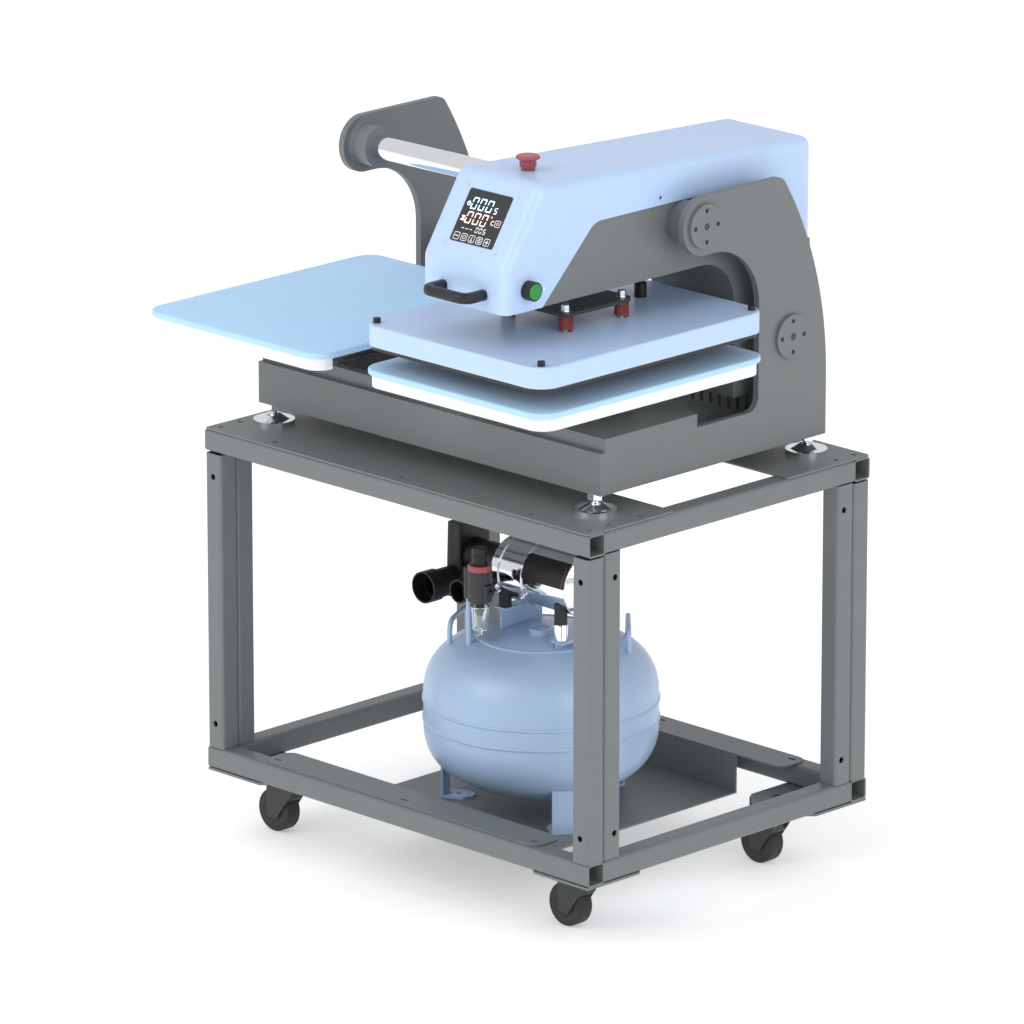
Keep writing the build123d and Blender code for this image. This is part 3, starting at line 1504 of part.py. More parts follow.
with BuildPart() as screws:
    with BuildSketch(slope_plane):
        with Locations((0, (screw_rows[0] + screw_rows[1]) / 2)):
            with GridLocations(screw_side, screw_rows[1] - screw_rows[0], 2, 2):
                Circle(screw_head_dia / 2)
    extrude(amount=screw_head_thick)
    with BuildSketch(slope_plane):
        with Locations((0, (screw_rows[0] + screw_rows[1]) / 2)):
            with GridLocations(screw_side, screw_rows[1] - screw_rows[0], 2, 2):
                Circle(screw_shank_dia / 2)
    extrude(amount=-screw_shank)
    for sx in ends:
        outer_face = carriage_x + sx * cover_half
        with BuildSketch(Plane.YZ.offset(outer_face)):
            with Locations(*side_screw_places):
                Circle(screw_head_dia / 2)
        extrude(amount=sx * screw_head_thick)
        with BuildSketch(Plane.YZ.offset(outer_face)):
            with Locations(*side_screw_places):
                Circle(screw_shank_dia / 2)
        extrude(amount=-sx * (skin_inset + carriage_plate))
save(screws, "cover_screws")

# Pull handle across the front of the head
with BuildPart() as grip:
    grip_z = cover_low + grip_height
    grip_y = head_front - handle_reach + grip_dia / 2
    with BuildSketch(Plane.YZ.offset(carriage_x - grip_length / 2)):
        with Locations((grip_y, grip_z)):
            RectangleRounded(grip_dia, grip_dia, grip_round)
    extrude(amount=grip_length)
    for sx in ends:
        with BuildSketch(Plane.XZ.offset(-grip_y)):
            with Locations((carriage_x + sx * grip_post_pitch / 2, grip_z)):
                RectangleRounded(grip_dia, grip_dia, grip_round)
        extrude(amount=-(head_front - grip_y))
save(grip, "front_handle")

# Emergency stop: a fixed collar through the cover and a skirted mushroom head pushed down on it
collar_top = estop_surface_z + estop_collar_height
with BuildPart() as housings:
    with BuildSketch(Plane.XY.offset(collar_top - estop_depth)):
        with Locations((carriage_x, estop_at_y)):
            Circle(estop_collar_dia / 2)
    extrude(amount=estop_depth)
    with BuildSketch(Plane.XY.offset(collar_top)):
        with Locations((carriage_x, estop_at_y)):
            Circle(estop_plunger_dia / 2 + pin_gap)
    extrude(amount=-(estop_plunger_in + estop_travel + estop_room), mode=Mode.SUBTRACT)
    cover_face = carriage_x + cover_half
    with BuildSketch(Plane.YZ.offset(cover_face)):
        with Locations((button_at_y, button_z)):
            Circle(bezel_dia / 2)
            Circle(bezel_dia / 2 - bezel_wall, mode=Mode.SUBTRACT)
    extrude(amount=bezel_length)
    with BuildSketch(Plane.YZ.offset(cover_face)):
        with Locations((button_at_y, button_z)):
            Circle(bezel_dia / 2)
    extrude(amount=bezel_floor)
    with BuildSketch(Plane.YZ.offset(cover_face)):
        with Locations((button_at_y, button_z)):
            Circle(button_body_dia / 2)
    extrude(amount=-button_body_depth)
save(housings, "button_housings")

cap_low = collar_top + estop_travel + seat_gap
skirt_low = estop_surface_z + estop_travel + seat_gap + estop_room
with BuildPart() as estop:
    with BuildSketch(Plane.XY.offset(cap_low)):
        with Locations((carriage_x, estop_at_y)):
            Circle(estop_cap_dia / 2)
    extrude(amount=estop_cap_thick)
    fillet(estop.edges().filter_by(GeomType.CIRCLE).sort_by(Axis.Z)[-1], estop_cap_round)
    with BuildSketch(Plane.XY.offset(skirt_low)):
        with Locations((carriage_x, estop_at_y)):
            Circle(estop_skirt_dia / 2)
            Circle(estop_collar_dia / 2 + seat_gap, mode=Mode.SUBTRACT)
    extrude(amount=cap_low - skirt_low)
    with BuildSketch(Plane.XY.offset(collar_top - estop_plunger_in)):
        with Locations((carriage_x, estop_at_y)):
            Circle(estop_plunger_dia / 2)
    extrude(amount=estop_plunger_in + estop_travel + seat_gap)
save(estop, "estop_button")

with BuildPart() as start_button:
    button_end = cover_face + bezel_length + button_proud
    with BuildSketch(Plane.YZ.offset(button_end - button_length)):
        with Locations((button_at_y, button_z)):
            Circle(bezel_dia / 2 - bezel_wall - pin_gap)
    extrude(amount=button_length)
    fillet(start_button.edges().filter_by(GeomType.CIRCLE).sort_by(Axis.X)[-1], button_round)
save(start_button, "start_button")

# Air cylinder on the arm's web, with its piston rod down to the press plate
cylinder_low = arm_z + web_sheet
cylinder_top = cylinder_low + cylinder_height
with BuildPart() as cylinder:
    with BuildSketch(Plane.XY.offset(cylinder_low)):
        with Locations((carriage_x, table_centre_y)):
            Circle(cylinder_dia / 2)
    extrude(amount=cylinder_height)
    with BuildSketch(Plane.XY.offset(cylinder_low + cylinder_cap)):
        with Locations((carriage_x, table_centre_y)):
            Circle(cylinder_dia / 2 - cylinder_wall)
    extrude(amount=cylinder_height - 2 * cylinder_cap, mode=Mode.SUBTRACT)
    with BuildSketch(Plane.XY.offset(cylinder_low)):
        with Locations((carriage_x, table_centre_y)):
            Circle(rod_dia / 2 + pin_gap)
    extrude(amount=cylinder_cap, mode=Mode.SUBTRACT)
save(cylinder, "press_cylinder")

with BuildPart() as rod:
    with BuildSketch(Plane.XY.offset(press_plate_top)):
        with Locations((carriage_x, table_centre_y)):
            Circle(rod_dia / 2)
    extrude(amount=cylinder_top - cylinder_cap - seat_gap - press_plate_top)
    with BuildSketch(Plane.XY.offset(cylinder_top - cylinder_cap - seat_gap - piston_thick)):
        with Locations((carriage_x, table_centre_y)):
            Circle(cylinder_dia / 2 - cylinder_wall - pin_gap)
    extrude(amount=piston_thick)
save(rod, "piston_rod")

# Press plate, its springs and their bolts
spring_places = [
    (carriage_x + sx * spring_pitch_x / 2, table_centre_y + sy * spring_pitch_y / 2)
    for sx, sy in corners
]
with BuildPart() as press_plate:
    with BuildSketch(Plane.XY.offset(press_plate_z)):
        with Locations((carriage_x, table_centre_y)):
            plate_x = spring_pitch_x + 2 * press_plate_corner
            plate_y = spring_pitch_y + 2 * press_plate_corner
            RectangleRounded(plate_x, plate_y, press_plate_corner)
        with Locations(*spring_places):
            Circle(bolt_dia / 2 + pin_gap, mode=Mode.SUBTRACT)
    extrude(amount=press_plate_thick)
save(press_plate, "press_plate")

with BuildPart() as springs:
    coil_radius = (spring_dia - spring_wire) / 2
    coil_rise = spring_height - spring_wire - 2 * spring_end_gap
    coil_low = platen_top + spring_end_gap + spring_wire / 2
    for coil_x, coil_y in spring_places:
        with BuildLine(Plane(origin=(coil_x, coil_y, coil_low))) as coil:
            Helix(coil_rise / spring_turns, coil_rise, coil_radius)
        with BuildSketch(Plane(origin=coil.line @ 0, z_dir=coil.line % 0)):
            Circle(spring_wire / 2)
        sweep(path=coil.line)
save(springs, "pressure_springs")

with BuildPart() as bolts:
    bolt_low = platen_top - cover_skin - bolt_in
    with BuildSketch(Plane.XY.offset(bolt_low)):
        with Locations(*spring_places):
            Circle(bolt_dia / 2)
    extrude(amount=press_plate_top - bolt_low)
    with BuildSketch(Plane.XY.offset(press_plate_top)):
        with Locations(*spring_places):
            Circle(washer_dia / 2)
    extrude(amount=washer_thick)
    with BuildSketch(Plane.XY.offset(press_plate_top + washer_thick)):
        with Locations(*spring_places):
            RegularPolygon(bolt_head_flats / 2, 6, major_radius=False)
    extrude(amount=bolt_head_thick)
save(bolts, "spring_bolts")

# Heated platen: sheet cover with rounded edges over the heat plate
with BuildPart() as platen:
    with BuildSketch(Plane.XY.offset(skirt_bottom)):
        with Locations((carriage_x, table_centre_y)):
            RectangleRounded(platen_width, platen_length, platen_radius)
    extrude(amount=cover_skirt)
    top_edges = platen.faces().sort_by(Axis.Z)[-1].edges()
    fillet(top_edges, cover_round)
    with BuildSketch(Plane.XY.offset(skirt_bottom)):
        with Locations((carriage_x, table_centre_y)):
            inside_x = platen_width - 2 * cover_skin
            inside_y = platen_length - 2 * cover_skin
            RectangleRounded(inside_x, inside_y, platen_radius - cover_skin)
    extrude(amount=cover_skirt - cover_skin, mode=Mode.SUBTRACT)
    with BuildSketch(Plane.XY.offset(platen_top)):
        with Locations(*spring_places):
            Circle(bolt_dia / 2 + pin_gap)
    extrude(amount=-cover_skirt, mode=Mode.SUBTRACT)
save(platen, "platen_cover")

with BuildPart() as heat_plate:
    with BuildSketch(Plane.XY.offset(heat_bottom)):
        with Locations((carriage_x, table_centre_y)):
            heat_x = platen_width - 2 * heat_plate_inset
            heat_y = platen_length - 2 * heat_plate_inset
            RectangleRounded(heat_x, heat_y, platen_radius - heat_plate_inset)
    extrude(amount=heat_plate_thick)
    boss_low = heat_bottom + heat_plate_thick
    with BuildSketch(Plane.XY.offset(boss_low)):
        with Locations(*spring_places):
            Circle(heat_boss_dia / 2)
    extrude(amount=platen_top - cover_skin - boss_low)
    with BuildSketch(Plane.XY.offset(platen_top - cover_skin)):
        with Locations(*spring_places):
            Circle(bolt_dia / 2 + pin_gap)
    extrude(amount=-(bolt_in + cut_room), mode=Mode.SUBTRACT)
save(heat_plate, "heat_plate")

with BuildPart() as knobs:
    with BuildSketch(Plane.XY.offset(platen_top)):
        with Locations((carriage_x, table_centre_y)):
            knob_x = platen_width - 2 * knob_inset
            knob_y = platen_length - 2 * knob_inset
            with GridLocations(knob_x, knob_y, 2, 2):
                Circle(knob_dia / 2)
    extrude(amount=knob_height)
save(knobs, "corner_knobs")

with BuildPart() as gland:
    gland_y = table_centre_y + gland_offset_y
    with BuildSketch(Plane.XY.offset(platen_top)):
        with Locations((carriage_x, gland_y)):
            Circle(gland_dia / 2)
    extrude(amount=gland_height)
    with BuildSketch(Plane.XY.offset(platen_top + gland_height)):
        with Locations((carriage_x, gland_y)):
            Circle(gland_neck_dia / 2)
    extrude(amount=gland_neck_height)
save(gland, "cable_gland")
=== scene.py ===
"""Looks of the sliding heat press: finishes, pads, display, rounded fittings and a studio round it."""
from math import cos, pi, radians, sin

import bpy
import numpy as np
from bpy.props import FloatProperty, FloatVectorProperty, IntProperty, PointerProperty
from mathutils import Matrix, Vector


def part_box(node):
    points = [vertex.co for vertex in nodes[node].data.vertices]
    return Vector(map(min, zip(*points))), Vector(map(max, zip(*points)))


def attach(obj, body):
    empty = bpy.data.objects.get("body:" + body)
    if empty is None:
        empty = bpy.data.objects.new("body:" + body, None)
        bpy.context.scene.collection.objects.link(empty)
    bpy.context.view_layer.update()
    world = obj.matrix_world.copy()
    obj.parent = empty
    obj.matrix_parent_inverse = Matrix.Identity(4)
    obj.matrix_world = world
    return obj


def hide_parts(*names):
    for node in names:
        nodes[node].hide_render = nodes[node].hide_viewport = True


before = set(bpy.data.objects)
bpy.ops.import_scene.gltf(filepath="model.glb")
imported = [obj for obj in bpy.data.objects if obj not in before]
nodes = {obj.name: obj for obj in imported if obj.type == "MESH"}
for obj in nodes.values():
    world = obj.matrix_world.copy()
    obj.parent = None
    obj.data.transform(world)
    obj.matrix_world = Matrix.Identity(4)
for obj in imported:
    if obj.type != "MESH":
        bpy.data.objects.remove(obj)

bl_info = {
    "name": "Sliding Heat Press Looks",
    "version": (1, 0, 0),
    "blender": (4, 5, 0),
    "location": "3D View > Sidebar > Heat Press",
    "description": "Finishes, pads, display and studio of a sliding heat press",
    "category": "Object",
}

MM = 0.001
FRONT_AZIMUTH = 45.0
FRONT_ELEVATION = 16.39
CAMERA_DISTANCE = 14.457
CAMERA_TARGET = (-0.0428, 0.0645, 0.5884)
LENS = 300.86
LIGHT_AIM = (0, 0, 0.7)

# The screen leans back with the hood's front: so far back for so far up, in millimetres
HOOD_FRONT_RUN = 84
HOOD_FRONT_RISE = 130
SCREEN_THICKNESS = 4
PRINT_HEIGHT = 0.08


# Meshes

def grid_object(name, points, close_u=False, close_v=False, caps=False):
    """Make a mesh from a grid of points; u runs down the rows and v along them.

    Each square of the grid is one face, a closed direction joins its last line to its first,
    and caps close the two end rows with a fan to their middle.
    """
    points = np.asarray(points, float)
    rows, cols = points.shape[:2]
    index = np.arange(rows * cols).reshape(rows, cols)
    below = np.roll(index, -1, axis=0) if close_u else index[1:]
    here = index if close_u else index[:-1]
    if close_v:
        quads = np.stack([here, np.roll(here, -1, 1), np.roll(below, -1, 1), below], -1)
    else:
        quads = np.stack([here[:, :-1], here[:, 1:], below[:, 1:], below[:, :-1]], -1)
    faces = quads.reshape(-1, 4).tolist()
    vertices = points.reshape(-1, 3)
    if caps:
        first, last = points[0].mean(0), points[-1].mean(0)
        vertices = np.vstack([vertices, first, last])
        tip, tail = rows * cols, rows * cols + 1
        start, end = index[0], index[-1]
        fan = np.stack([np.roll(start, -1), start, np.full(cols, tip)], -1)
        back = np.stack([end, np.roll(end, -1), np.full(cols, tail)], -1)
        faces += fan.tolist() + back.tolist()
    mesh = bpy.data.meshes.new(name)
    mesh.from_pydata(vertices.tolist(), [], faces)
    mesh.validate()
    mesh.polygons.foreach_set("use_smooth", np.ones(len(mesh.polygons), bool))
    piece = bpy.data.objects.new(name, mesh)
    bpy.context.scene.collection.objects.link(piece)
    return piece


def face_out(piece):
    """Turn a closed mesh's faces outwards by the sign of its volume."""
    mesh = piece.data
    mesh.calc_loop_triangles()
    corners = np.zeros(len(mesh.loop_triangles) * 3, np.int32)
    mesh.loop_triangles.foreach_get("vertices", corners)
    spots = np.zeros(len(mesh.vertices) * 3)
    mesh.vertices.foreach_get("co", spots)
    tri = spots.reshape(-1, 3)[corners.reshape(-1, 3)]
    volume = np.einsum("ij,ij->i", tri[:, 0], np.cross(tri[:, 1], tri[:, 2])).sum()
    if volume < 0:
        mesh.flip_normals()
    return piece


def axes_for(direction):
    """Two unit vectors square to a direction and to each other."""
    direction = np.asarray(direction, float) / np.linalg.norm(direction)
    helper = np.array([0.0, 0.0, 1.0]) if abs(direction[2]) < 0.9 else np.array([1.0, 0.0, 0.0])
    side = np.cross(helper, direction)
    side /= np.linalg.norm(side)
    return side, np.cross(direction, side)


def spun_points(centre, direction, profile, steps):
    """Grid of points: each (along, radius) pair in millimetres is carried round the axis."""
    profile = np.asarray(profile, float) * MM
    side, up = axes_for(direction)
    along = np.asarray(direction, float) / np.linalg.norm(direction)
    angle = np.linspace(0, 2 * pi, steps, endpoint=False)
    ring = np.cos(angle)[:, None] * side + np.sin(angle)[:, None] * up
    return (
        np.asarray(centre, float)
        + profile[:, 0, None, None] * along
        + profile[:, 1, None, None] * ring[None]
    )


def turned(name, centre, direction, profile, steps):
    """Turned solid: an open profile carried round the axis and closed at both ends."""
    points = spun_points(centre, direction, profile, steps)
    return face_out(grid_object(name, points, close_v=True, caps=True))


def turned_band(name, centre, direction, profile, steps):
    """Turned ring: a closed profile carried round the axis."""
    points = spun_points(centre, direction, profile, steps)
    return face_out(grid_object(name, points, close_u=True, close_v=True))


def rounded_path(corners, radius, steps):
    """Points along straight runs whose corners are replaced by quadratic curves.

    At each inner corner the path leaves its run a radius before the corner and joins the next
    a radius after it, and in between it is the quadratic curve with the corner as control point.
    """
    corners = np.asarray(corners, float)
    run = np.diff(corners, axis=0)
    unit = run / np.linalg.norm(run, axis=1)[:, None]
    share = np.linspace(0, 1, steps)[:, None, None]
    leave = corners[1:-1] - unit[:-1] * radius
    join = corners[1:-1] + unit[1:] * radius
    bends = (1 - share) ** 2 * leave + 2 * share * (1 - share) * corners[1:-1] + share**2 * join
    middle = bends.transpose(1, 0, 2).reshape(-1, 3)
    return np.vstack([corners[:1], middle, corners[-1:]])


def circle_run(x, y, z, radius, start, end):
    """Points on a circle in the YZ plane between two angles in degrees."""
    angle = np.radians(np.linspace(start, end, 73))
    across = y + radius * np.cos(angle)
    height = z + radius * np.sin(angle)
    return np.stack([np.full_like(angle, x), across, height], -1)


def swept(name, path, radius, normal, steps, power=2.0):
    """Section carried along a path: across each point lies the curve |x|^p + |y|^p = radius^p.

    The section's first direction is the given normal and its second is square to that and the path.
    """
    path = np.asarray(path, float)
    tangent = np.gradient(path, axis=0)
    tangent /= np.linalg.norm(tangent, axis=1)[:, None]
    normal = np.asarray(normal, float)
    side = np.cross(tangent, normal)
    side /= np.linalg.norm(side, axis=1)[:, None]
    first = np.cross(side, tangent)
    angle = np.linspace(0, 2 * pi, steps, endpoint=False)
    a = np.sign(np.cos(angle)) * np.abs(np.cos(angle)) ** (2 / power)
    b = np.sign(np.sin(angle)) * np.abs(np.sin(angle)) ** (2 / power)
    section = a[None, :, None] * first[:, None] + b[None, :, None] * side[:, None]
    points = path[:, None] + radius * section
    return face_out(grid_object(name, points, close_v=True, caps=True))


def join_pieces(name, parts):
    """Put several new pieces into one mesh."""
    bpy.ops.object.select_all(action="DESELECT")
    for part in parts:
        part.select_set(True)
    bpy.context.view_layer.objects.active = parts[0]
    bpy.ops.object.join()
    parts[0].name = name
    return parts[0]


def settle(piece, body, finish):
    """Give a new piece its finish and the body it rides on."""
    piece.data.materials.clear()
    piece.data.materials.append(finish)
    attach(piece, body)


# Finishes

COARSE_SHARE = 40
ROUGH_SPREAD = 0.04
RELIEF_DEPTH = 0.2 * MM
COAT_ROUGHNESS = 0.15


def make_finish(
    name, colour, rough, metal=0.0, grain=400.0, vary=0.04, bump=0.05,
    stretch=(1.0, 1.0, 1.0), coat=0.0, clear=0.0, glow=0.0, ior=1.5, sheen=0.0,
):
    """A finish with noise in its colour, roughness and relief, on Object coordinates.

    A coarse noise shifts the colour by a few percent. A fine noise shifts the roughness a little
    and raises the surface. Both are stretched along a brushed direction if there is one.
    """
    material = bpy.data.materials.new(name)
    material.use_nodes = True
    tree = material.node_tree
    shader = tree.nodes["Principled BSDF"]
    place = tree.nodes.new("ShaderNodeTexCoord")
    mapping = tree.nodes.new("ShaderNodeMapping")
    mapping.inputs["Scale"].default_value = stretch
    tree.links.new(place.outputs["Object"], mapping.inputs["Vector"])
    coarse = tree.nodes.new("ShaderNodeTexNoise")
    coarse.inputs["Scale"].default_value = grain / COARSE_SHARE
    coarse.inputs["Detail"].default_value = 4
    fine = tree.nodes.new("ShaderNodeTexNoise")
    fine.inputs["Scale"].default_value = grain
    fine.inputs["Detail"].default_value = 3
    tree.links.new(mapping.outputs["Vector"], coarse.inputs["Vector"])
    tree.links.new(mapping.outputs["Vector"], fine.inputs["Vector"])
    tone = tree.nodes.new("ShaderNodeMix")
    tone.data_type = "RGBA"
    low = [max(0.0, c * (1 - vary)) for c in colour[:3]] + [1]
    high = [min(1.0, c * (1 + vary)) for c in colour[:3]] + [1]
    tone.inputs["A"].default_value = low
    tone.inputs["B"].default_value = high
    tree.links.new(coarse.outputs["Fac"], tone.inputs["Factor"])
    tree.links.new(tone.outputs["Result"], shader.inputs["Base Color"])
    spread = tree.nodes.new("ShaderNodeMapRange")
    spread.inputs["From Min"].default_value = 0.3
    spread.inputs["From Max"].default_value = 0.7
    spread.inputs["To Min"].default_value = max(0.02, rough - ROUGH_SPREAD)
    spread.inputs["To Max"].default_value = min(1.0, rough + ROUGH_SPREAD)
    tree.links.new(fine.outputs["Fac"], spread.inputs["Value"])
    tree.links.new(spread.outputs["Result"], shader.inputs["Roughness"])
    relief = tree.nodes.new("ShaderNodeBump")
    relief.inputs["Strength"].default_value = bump
    relief.inputs["Distance"].default_value = RELIEF_DEPTH
    tree.links.new(fine.outputs["Fac"], relief.inputs["Height"])
    tree.links.new(relief.outputs["Normal"], shader.inputs["Normal"])
    shader.inputs["Metallic"].default_value = metal
    shader.inputs["Coat Weight"].default_value = coat
    shader.inputs["Coat Roughness"].default_value = COAT_ROUGHNESS
    shader.inputs["Transmission Weight"].default_value = clear
    shader.inputs["IOR"].default_value = ior
    shader.inputs["Sheen Weight"].default_value = sheen
    if glow:
        shader.inputs["Emission Color"].default_value = (*colour[:3], 1)
        shader.inputs["Emission Strength"].default_value = glow
    return material


FINISH = {}


def make_finishes(look):
    """Make every finish of the press once."""
    grey = tuple(look.frame_grey)
    blue = tuple(look.cover_blue)
    pad = tuple(look.pad_blue)
    FINISH.update(
        frame=make_finish("frame_powder_coat", grey, 0.45, grain=900, bump=0.12),
        bed=make_finish("bed_powder_coat", grey, 0.42, grain=900, bump=0.12),
        blue=make_finish("blue_powder_coat", blue, 0.36, grain=1100, bump=0.08, coat=0.15),
        tank=make_finish("tank_paint", tuple(look.tank_blue), 0.38, grain=300, bump=0.05, coat=0.2),
        pad=make_finish("silicone_pad", pad, 0.7, grain=700, bump=0.25, vary=0.03, sheen=0.15),
        white=make_finish("white_powder_coat", (0.86, 0.87, 0.88), 0.4, grain=900, bump=0.1),
        chrome=make_finish("polished_chrome", (0.86, 0.87, 0.89), 0.08, metal=1, grain=200, bump=0.01),
        steel=make_finish(
            "brushed_steel", (0.62, 0.63, 0.65), 0.32, metal=1, grain=500, stretch=(0.15, 1, 1), bump=0.1
        ),
        zinc=make_finish("zinc_plate", (0.78, 0.79, 0.81), 0.25, metal=1, grain=600, bump=0.06),
        black=make_finish("black_moulding", (0.009, 0.009, 0.01), 0.45, grain=1200, bump=0.15),
        satin=make_finish("black_satin_metal", (0.025, 0.026, 0.028), 0.35, grain=800, bump=0.08),
        dark=make_finish("dark_plate_coat", (0.033, 0.035, 0.036), 0.45, grain=900, bump=0.1),
        rubber=make_finish("black_rubber", (0.02, 0.02, 0.021), 0.62, grain=500, bump=0.2),
        red=make_finish("red_moulding", tuple(look.stop_red), 0.38, grain=700, bump=0.05, coat=0.2),
        coil=make_finish("red_spring_coat", (0.30, 0.045, 0.045), 0.4, grain=900, bump=0.08),
        green=make_finish("green_button", (0.02, 0.26, 0.035), 0.4, grain=600, bump=0.05, coat=0.1),
        bronze=make_finish("bearing_bronze", (0.55, 0.38, 0.18), 0.3, metal=1, grain=500, bump=0.08),
        coat=make_finish("baked_coat", (0.035, 0.02, 0.014), 0.4, grain=900, bump=0.1),
        iron=make_finish("laminated_core", (0.12, 0.12, 0.125), 0.5, metal=0.6, grain=900, bump=0.2),
        glass=make_finish("screen_glass", (0.012, 0.013, 0.016), 0.12, grain=200, bump=0.0, coat=0.6),
        clear=make_finish(
            "clear_bowl", (0.9, 0.94, 0.97), 0.08, clear=0.9, grain=150, bump=0.02, ior=1.45
        ),
        board=make_finish("circuit_board", (0.01, 0.09, 0.04), 0.4, grain=350, vary=0.3, bump=0.2),
    )


NODE_FINISH = {
    "frame": (
        "bottom_frame_tubes", "top_frame_tubes", "leg_tubes", "top_plates", "corner_plates",
        "compressor_tray",
    ),
    "bed": (
        "bed_front_panel", "bed_pan", "bed_deck", "left_side_plate", "right_side_plate",
        "rail_flanges", "table_pedestals", "carriage_plates", "carriage_web",
    ),
    "blue": ("head_cover", "platen_cover"),
    "tank": ("air_tank", "tank_feet", "tank_handles", "motor_cradle"),
    "white": ("table_trays",),
    "chrome": ("slide_rails", "piston_rod", "motor_shroud", "levelling_feet"),
    "steel": ("press_cylinder",),
    "zinc": ("cover_screws", "spring_bolts"),
    "black": (
        "filter_housing", "intake_mouths", "button_housings", "corner_knobs", "cable_gland",
        "regulator_knob", "pump_cover",
    ),
    "satin": ("regulator_body",),
    "dark": ("press_plate",),
    "rubber": ("motor_mounts",),
    "red": ("regulator_ring",),
    "coil": ("pressure_springs",),
    "green": ("start_button",),
    "bronze": ("rail_bushes",),
    "coat": ("heat_plate",),
    "iron": ("motor_core", "motor_rotor"),
    "glass": ("control_screen",),
    "clear": ("water_bowl",),
    "board": ("controller_board",),
}


# Settings

class PressFinishSettings(bpy.types.PropertyGroup):
    """Paint colours of the press."""

    frame_grey: FloatVectorProperty(
        name="Frame Grey", description="Powder coat of the stand, bed and side plates",
        subtype="COLOR", default=(0.165, 0.177, 0.179), min=0, max=1,
    )
    cover_blue: FloatVectorProperty(
        name="Cover Blue", description="Powder coat of the head cover and the platen cover",
        subtype="COLOR", default=(0.50, 0.655, 0.925), min=0, max=1,
    )
    tank_blue: FloatVectorProperty(
        name="Tank Blue", description="Paint of the air tank and its brackets",
        subtype="COLOR", default=(0.38, 0.515, 0.72), min=0, max=1,
    )
    pad_blue: FloatVectorProperty(
        name="Pad Blue", description="Silicone of the two table pads",
        subtype="COLOR", default=(0.45, 0.71, 1.0), min=0, max=1,
    )
    stop_red: FloatVectorProperty(
        name="Stop Red", description="Red of the stop button and the regulator's ring",
        subtype="COLOR", default=(0.38, 0.075, 0.08), min=0, max=1,
    )


class PressPadSettings(bpy.types.PropertyGroup):
    """Shape of the table pads."""

    crown: FloatProperty(
        name="Crown", description="How much the pad's middle stands above its edge",
        subtype="DISTANCE", unit="LENGTH", default=0.5 * MM, min=0, max=3 * MM,
    )
    edge_round: FloatProperty(
        name="Edge Round", description="Rounding of the pad's upper and lower edges",
        subtype="DISTANCE", unit="LENGTH", default=3 * MM, min=0.5 * MM, max=5 * MM,
    )
    corner_radius: FloatProperty(
        name="Corner Radius", description="Radius of the pad's corners seen from above",
        subtype="DISTANCE", unit="LENGTH", default=37 * MM, min=5 * MM, max=80 * MM,
    )


class PressDisplaySettings(bpy.types.PropertyGroup):
    """Colours and brightness of the display."""

    time_colour: FloatVectorProperty(
        name="Time Colour", description="Glow of the upper digits",
        subtype="COLOR", default=(0.62, 0.86, 1.0), min=0, max=1,
    )
    heat_colour: FloatVectorProperty(
        name="Heat Colour", description="Glow of the lower digits",
        subtype="COLOR", default=(1.0, 0.62, 0.58), min=0, max=1,
    )
    glow: FloatProperty(
        name="Glow", description="Brightness of the display", default=0.9, min=0, max=5,
    )


class PressFittingSettings(bpy.types.PropertyGroup):
    """Sizes of the rounded fittings."""

    grip_radius: FloatProperty(
        name="Grip Radius", description="Half the thickness of the pull handle",
        subtype="DISTANCE", unit="LENGTH", default=9 * MM, min=4 * MM, max=15 * MM,
    )
    socket_flare: FloatProperty(
        name="Socket Flare", description="Rounding where a rail socket meets its side plate",
        subtype="DISTANCE", unit="LENGTH", default=6 * MM, min=1 * MM, max=12 * MM,
    )
    steps: IntProperty(
        name="Round Steps", description="Faces round a turned piece", default=72, min=12, max=128,
    )


class PressStudioSettings(bpy.types.PropertyGroup):
    """Lights of the studio."""

    sky: FloatProperty(
        name="Sky", description="Strength of the pale surroundings", default=0.77, min=0, max=5,
    )
    key: FloatProperty(
        name="Key Light", description="Power of the large soft light in front", unit="POWER",
        default=78, min=0, max=5000,
    )
    fill: FloatProperty(
        name="Fill Light", description="Power of the soft light on the right", unit="POWER",
        default=50, min=0, max=5000,
    )


# Pieces

class PRESS_OT_finishes(bpy.types.Operator):
    """Paint every part of the model with its procedural finish"""

    bl_idname = "press.finishes"
    bl_label = "Apply Finishes"

    def execute(self, context):
        make_finishes(context.scene.press_finish)
        for finish, names in NODE_FINISH.items():
            for name in names:
                paint(name, FINISH[finish])
        for name in nodes:
            if name.endswith("caster_fork"):
                paint(name, FINISH["satin"])
            if name.endswith("caster_wheel"):
                paint(name, FINISH["rubber"])
        return {"FINISHED"}


def paint(name, finish):
    """Put one finish on a part of the model."""
    data = nodes[name].data
    data.materials.clear()
    data.materials.append(finish)


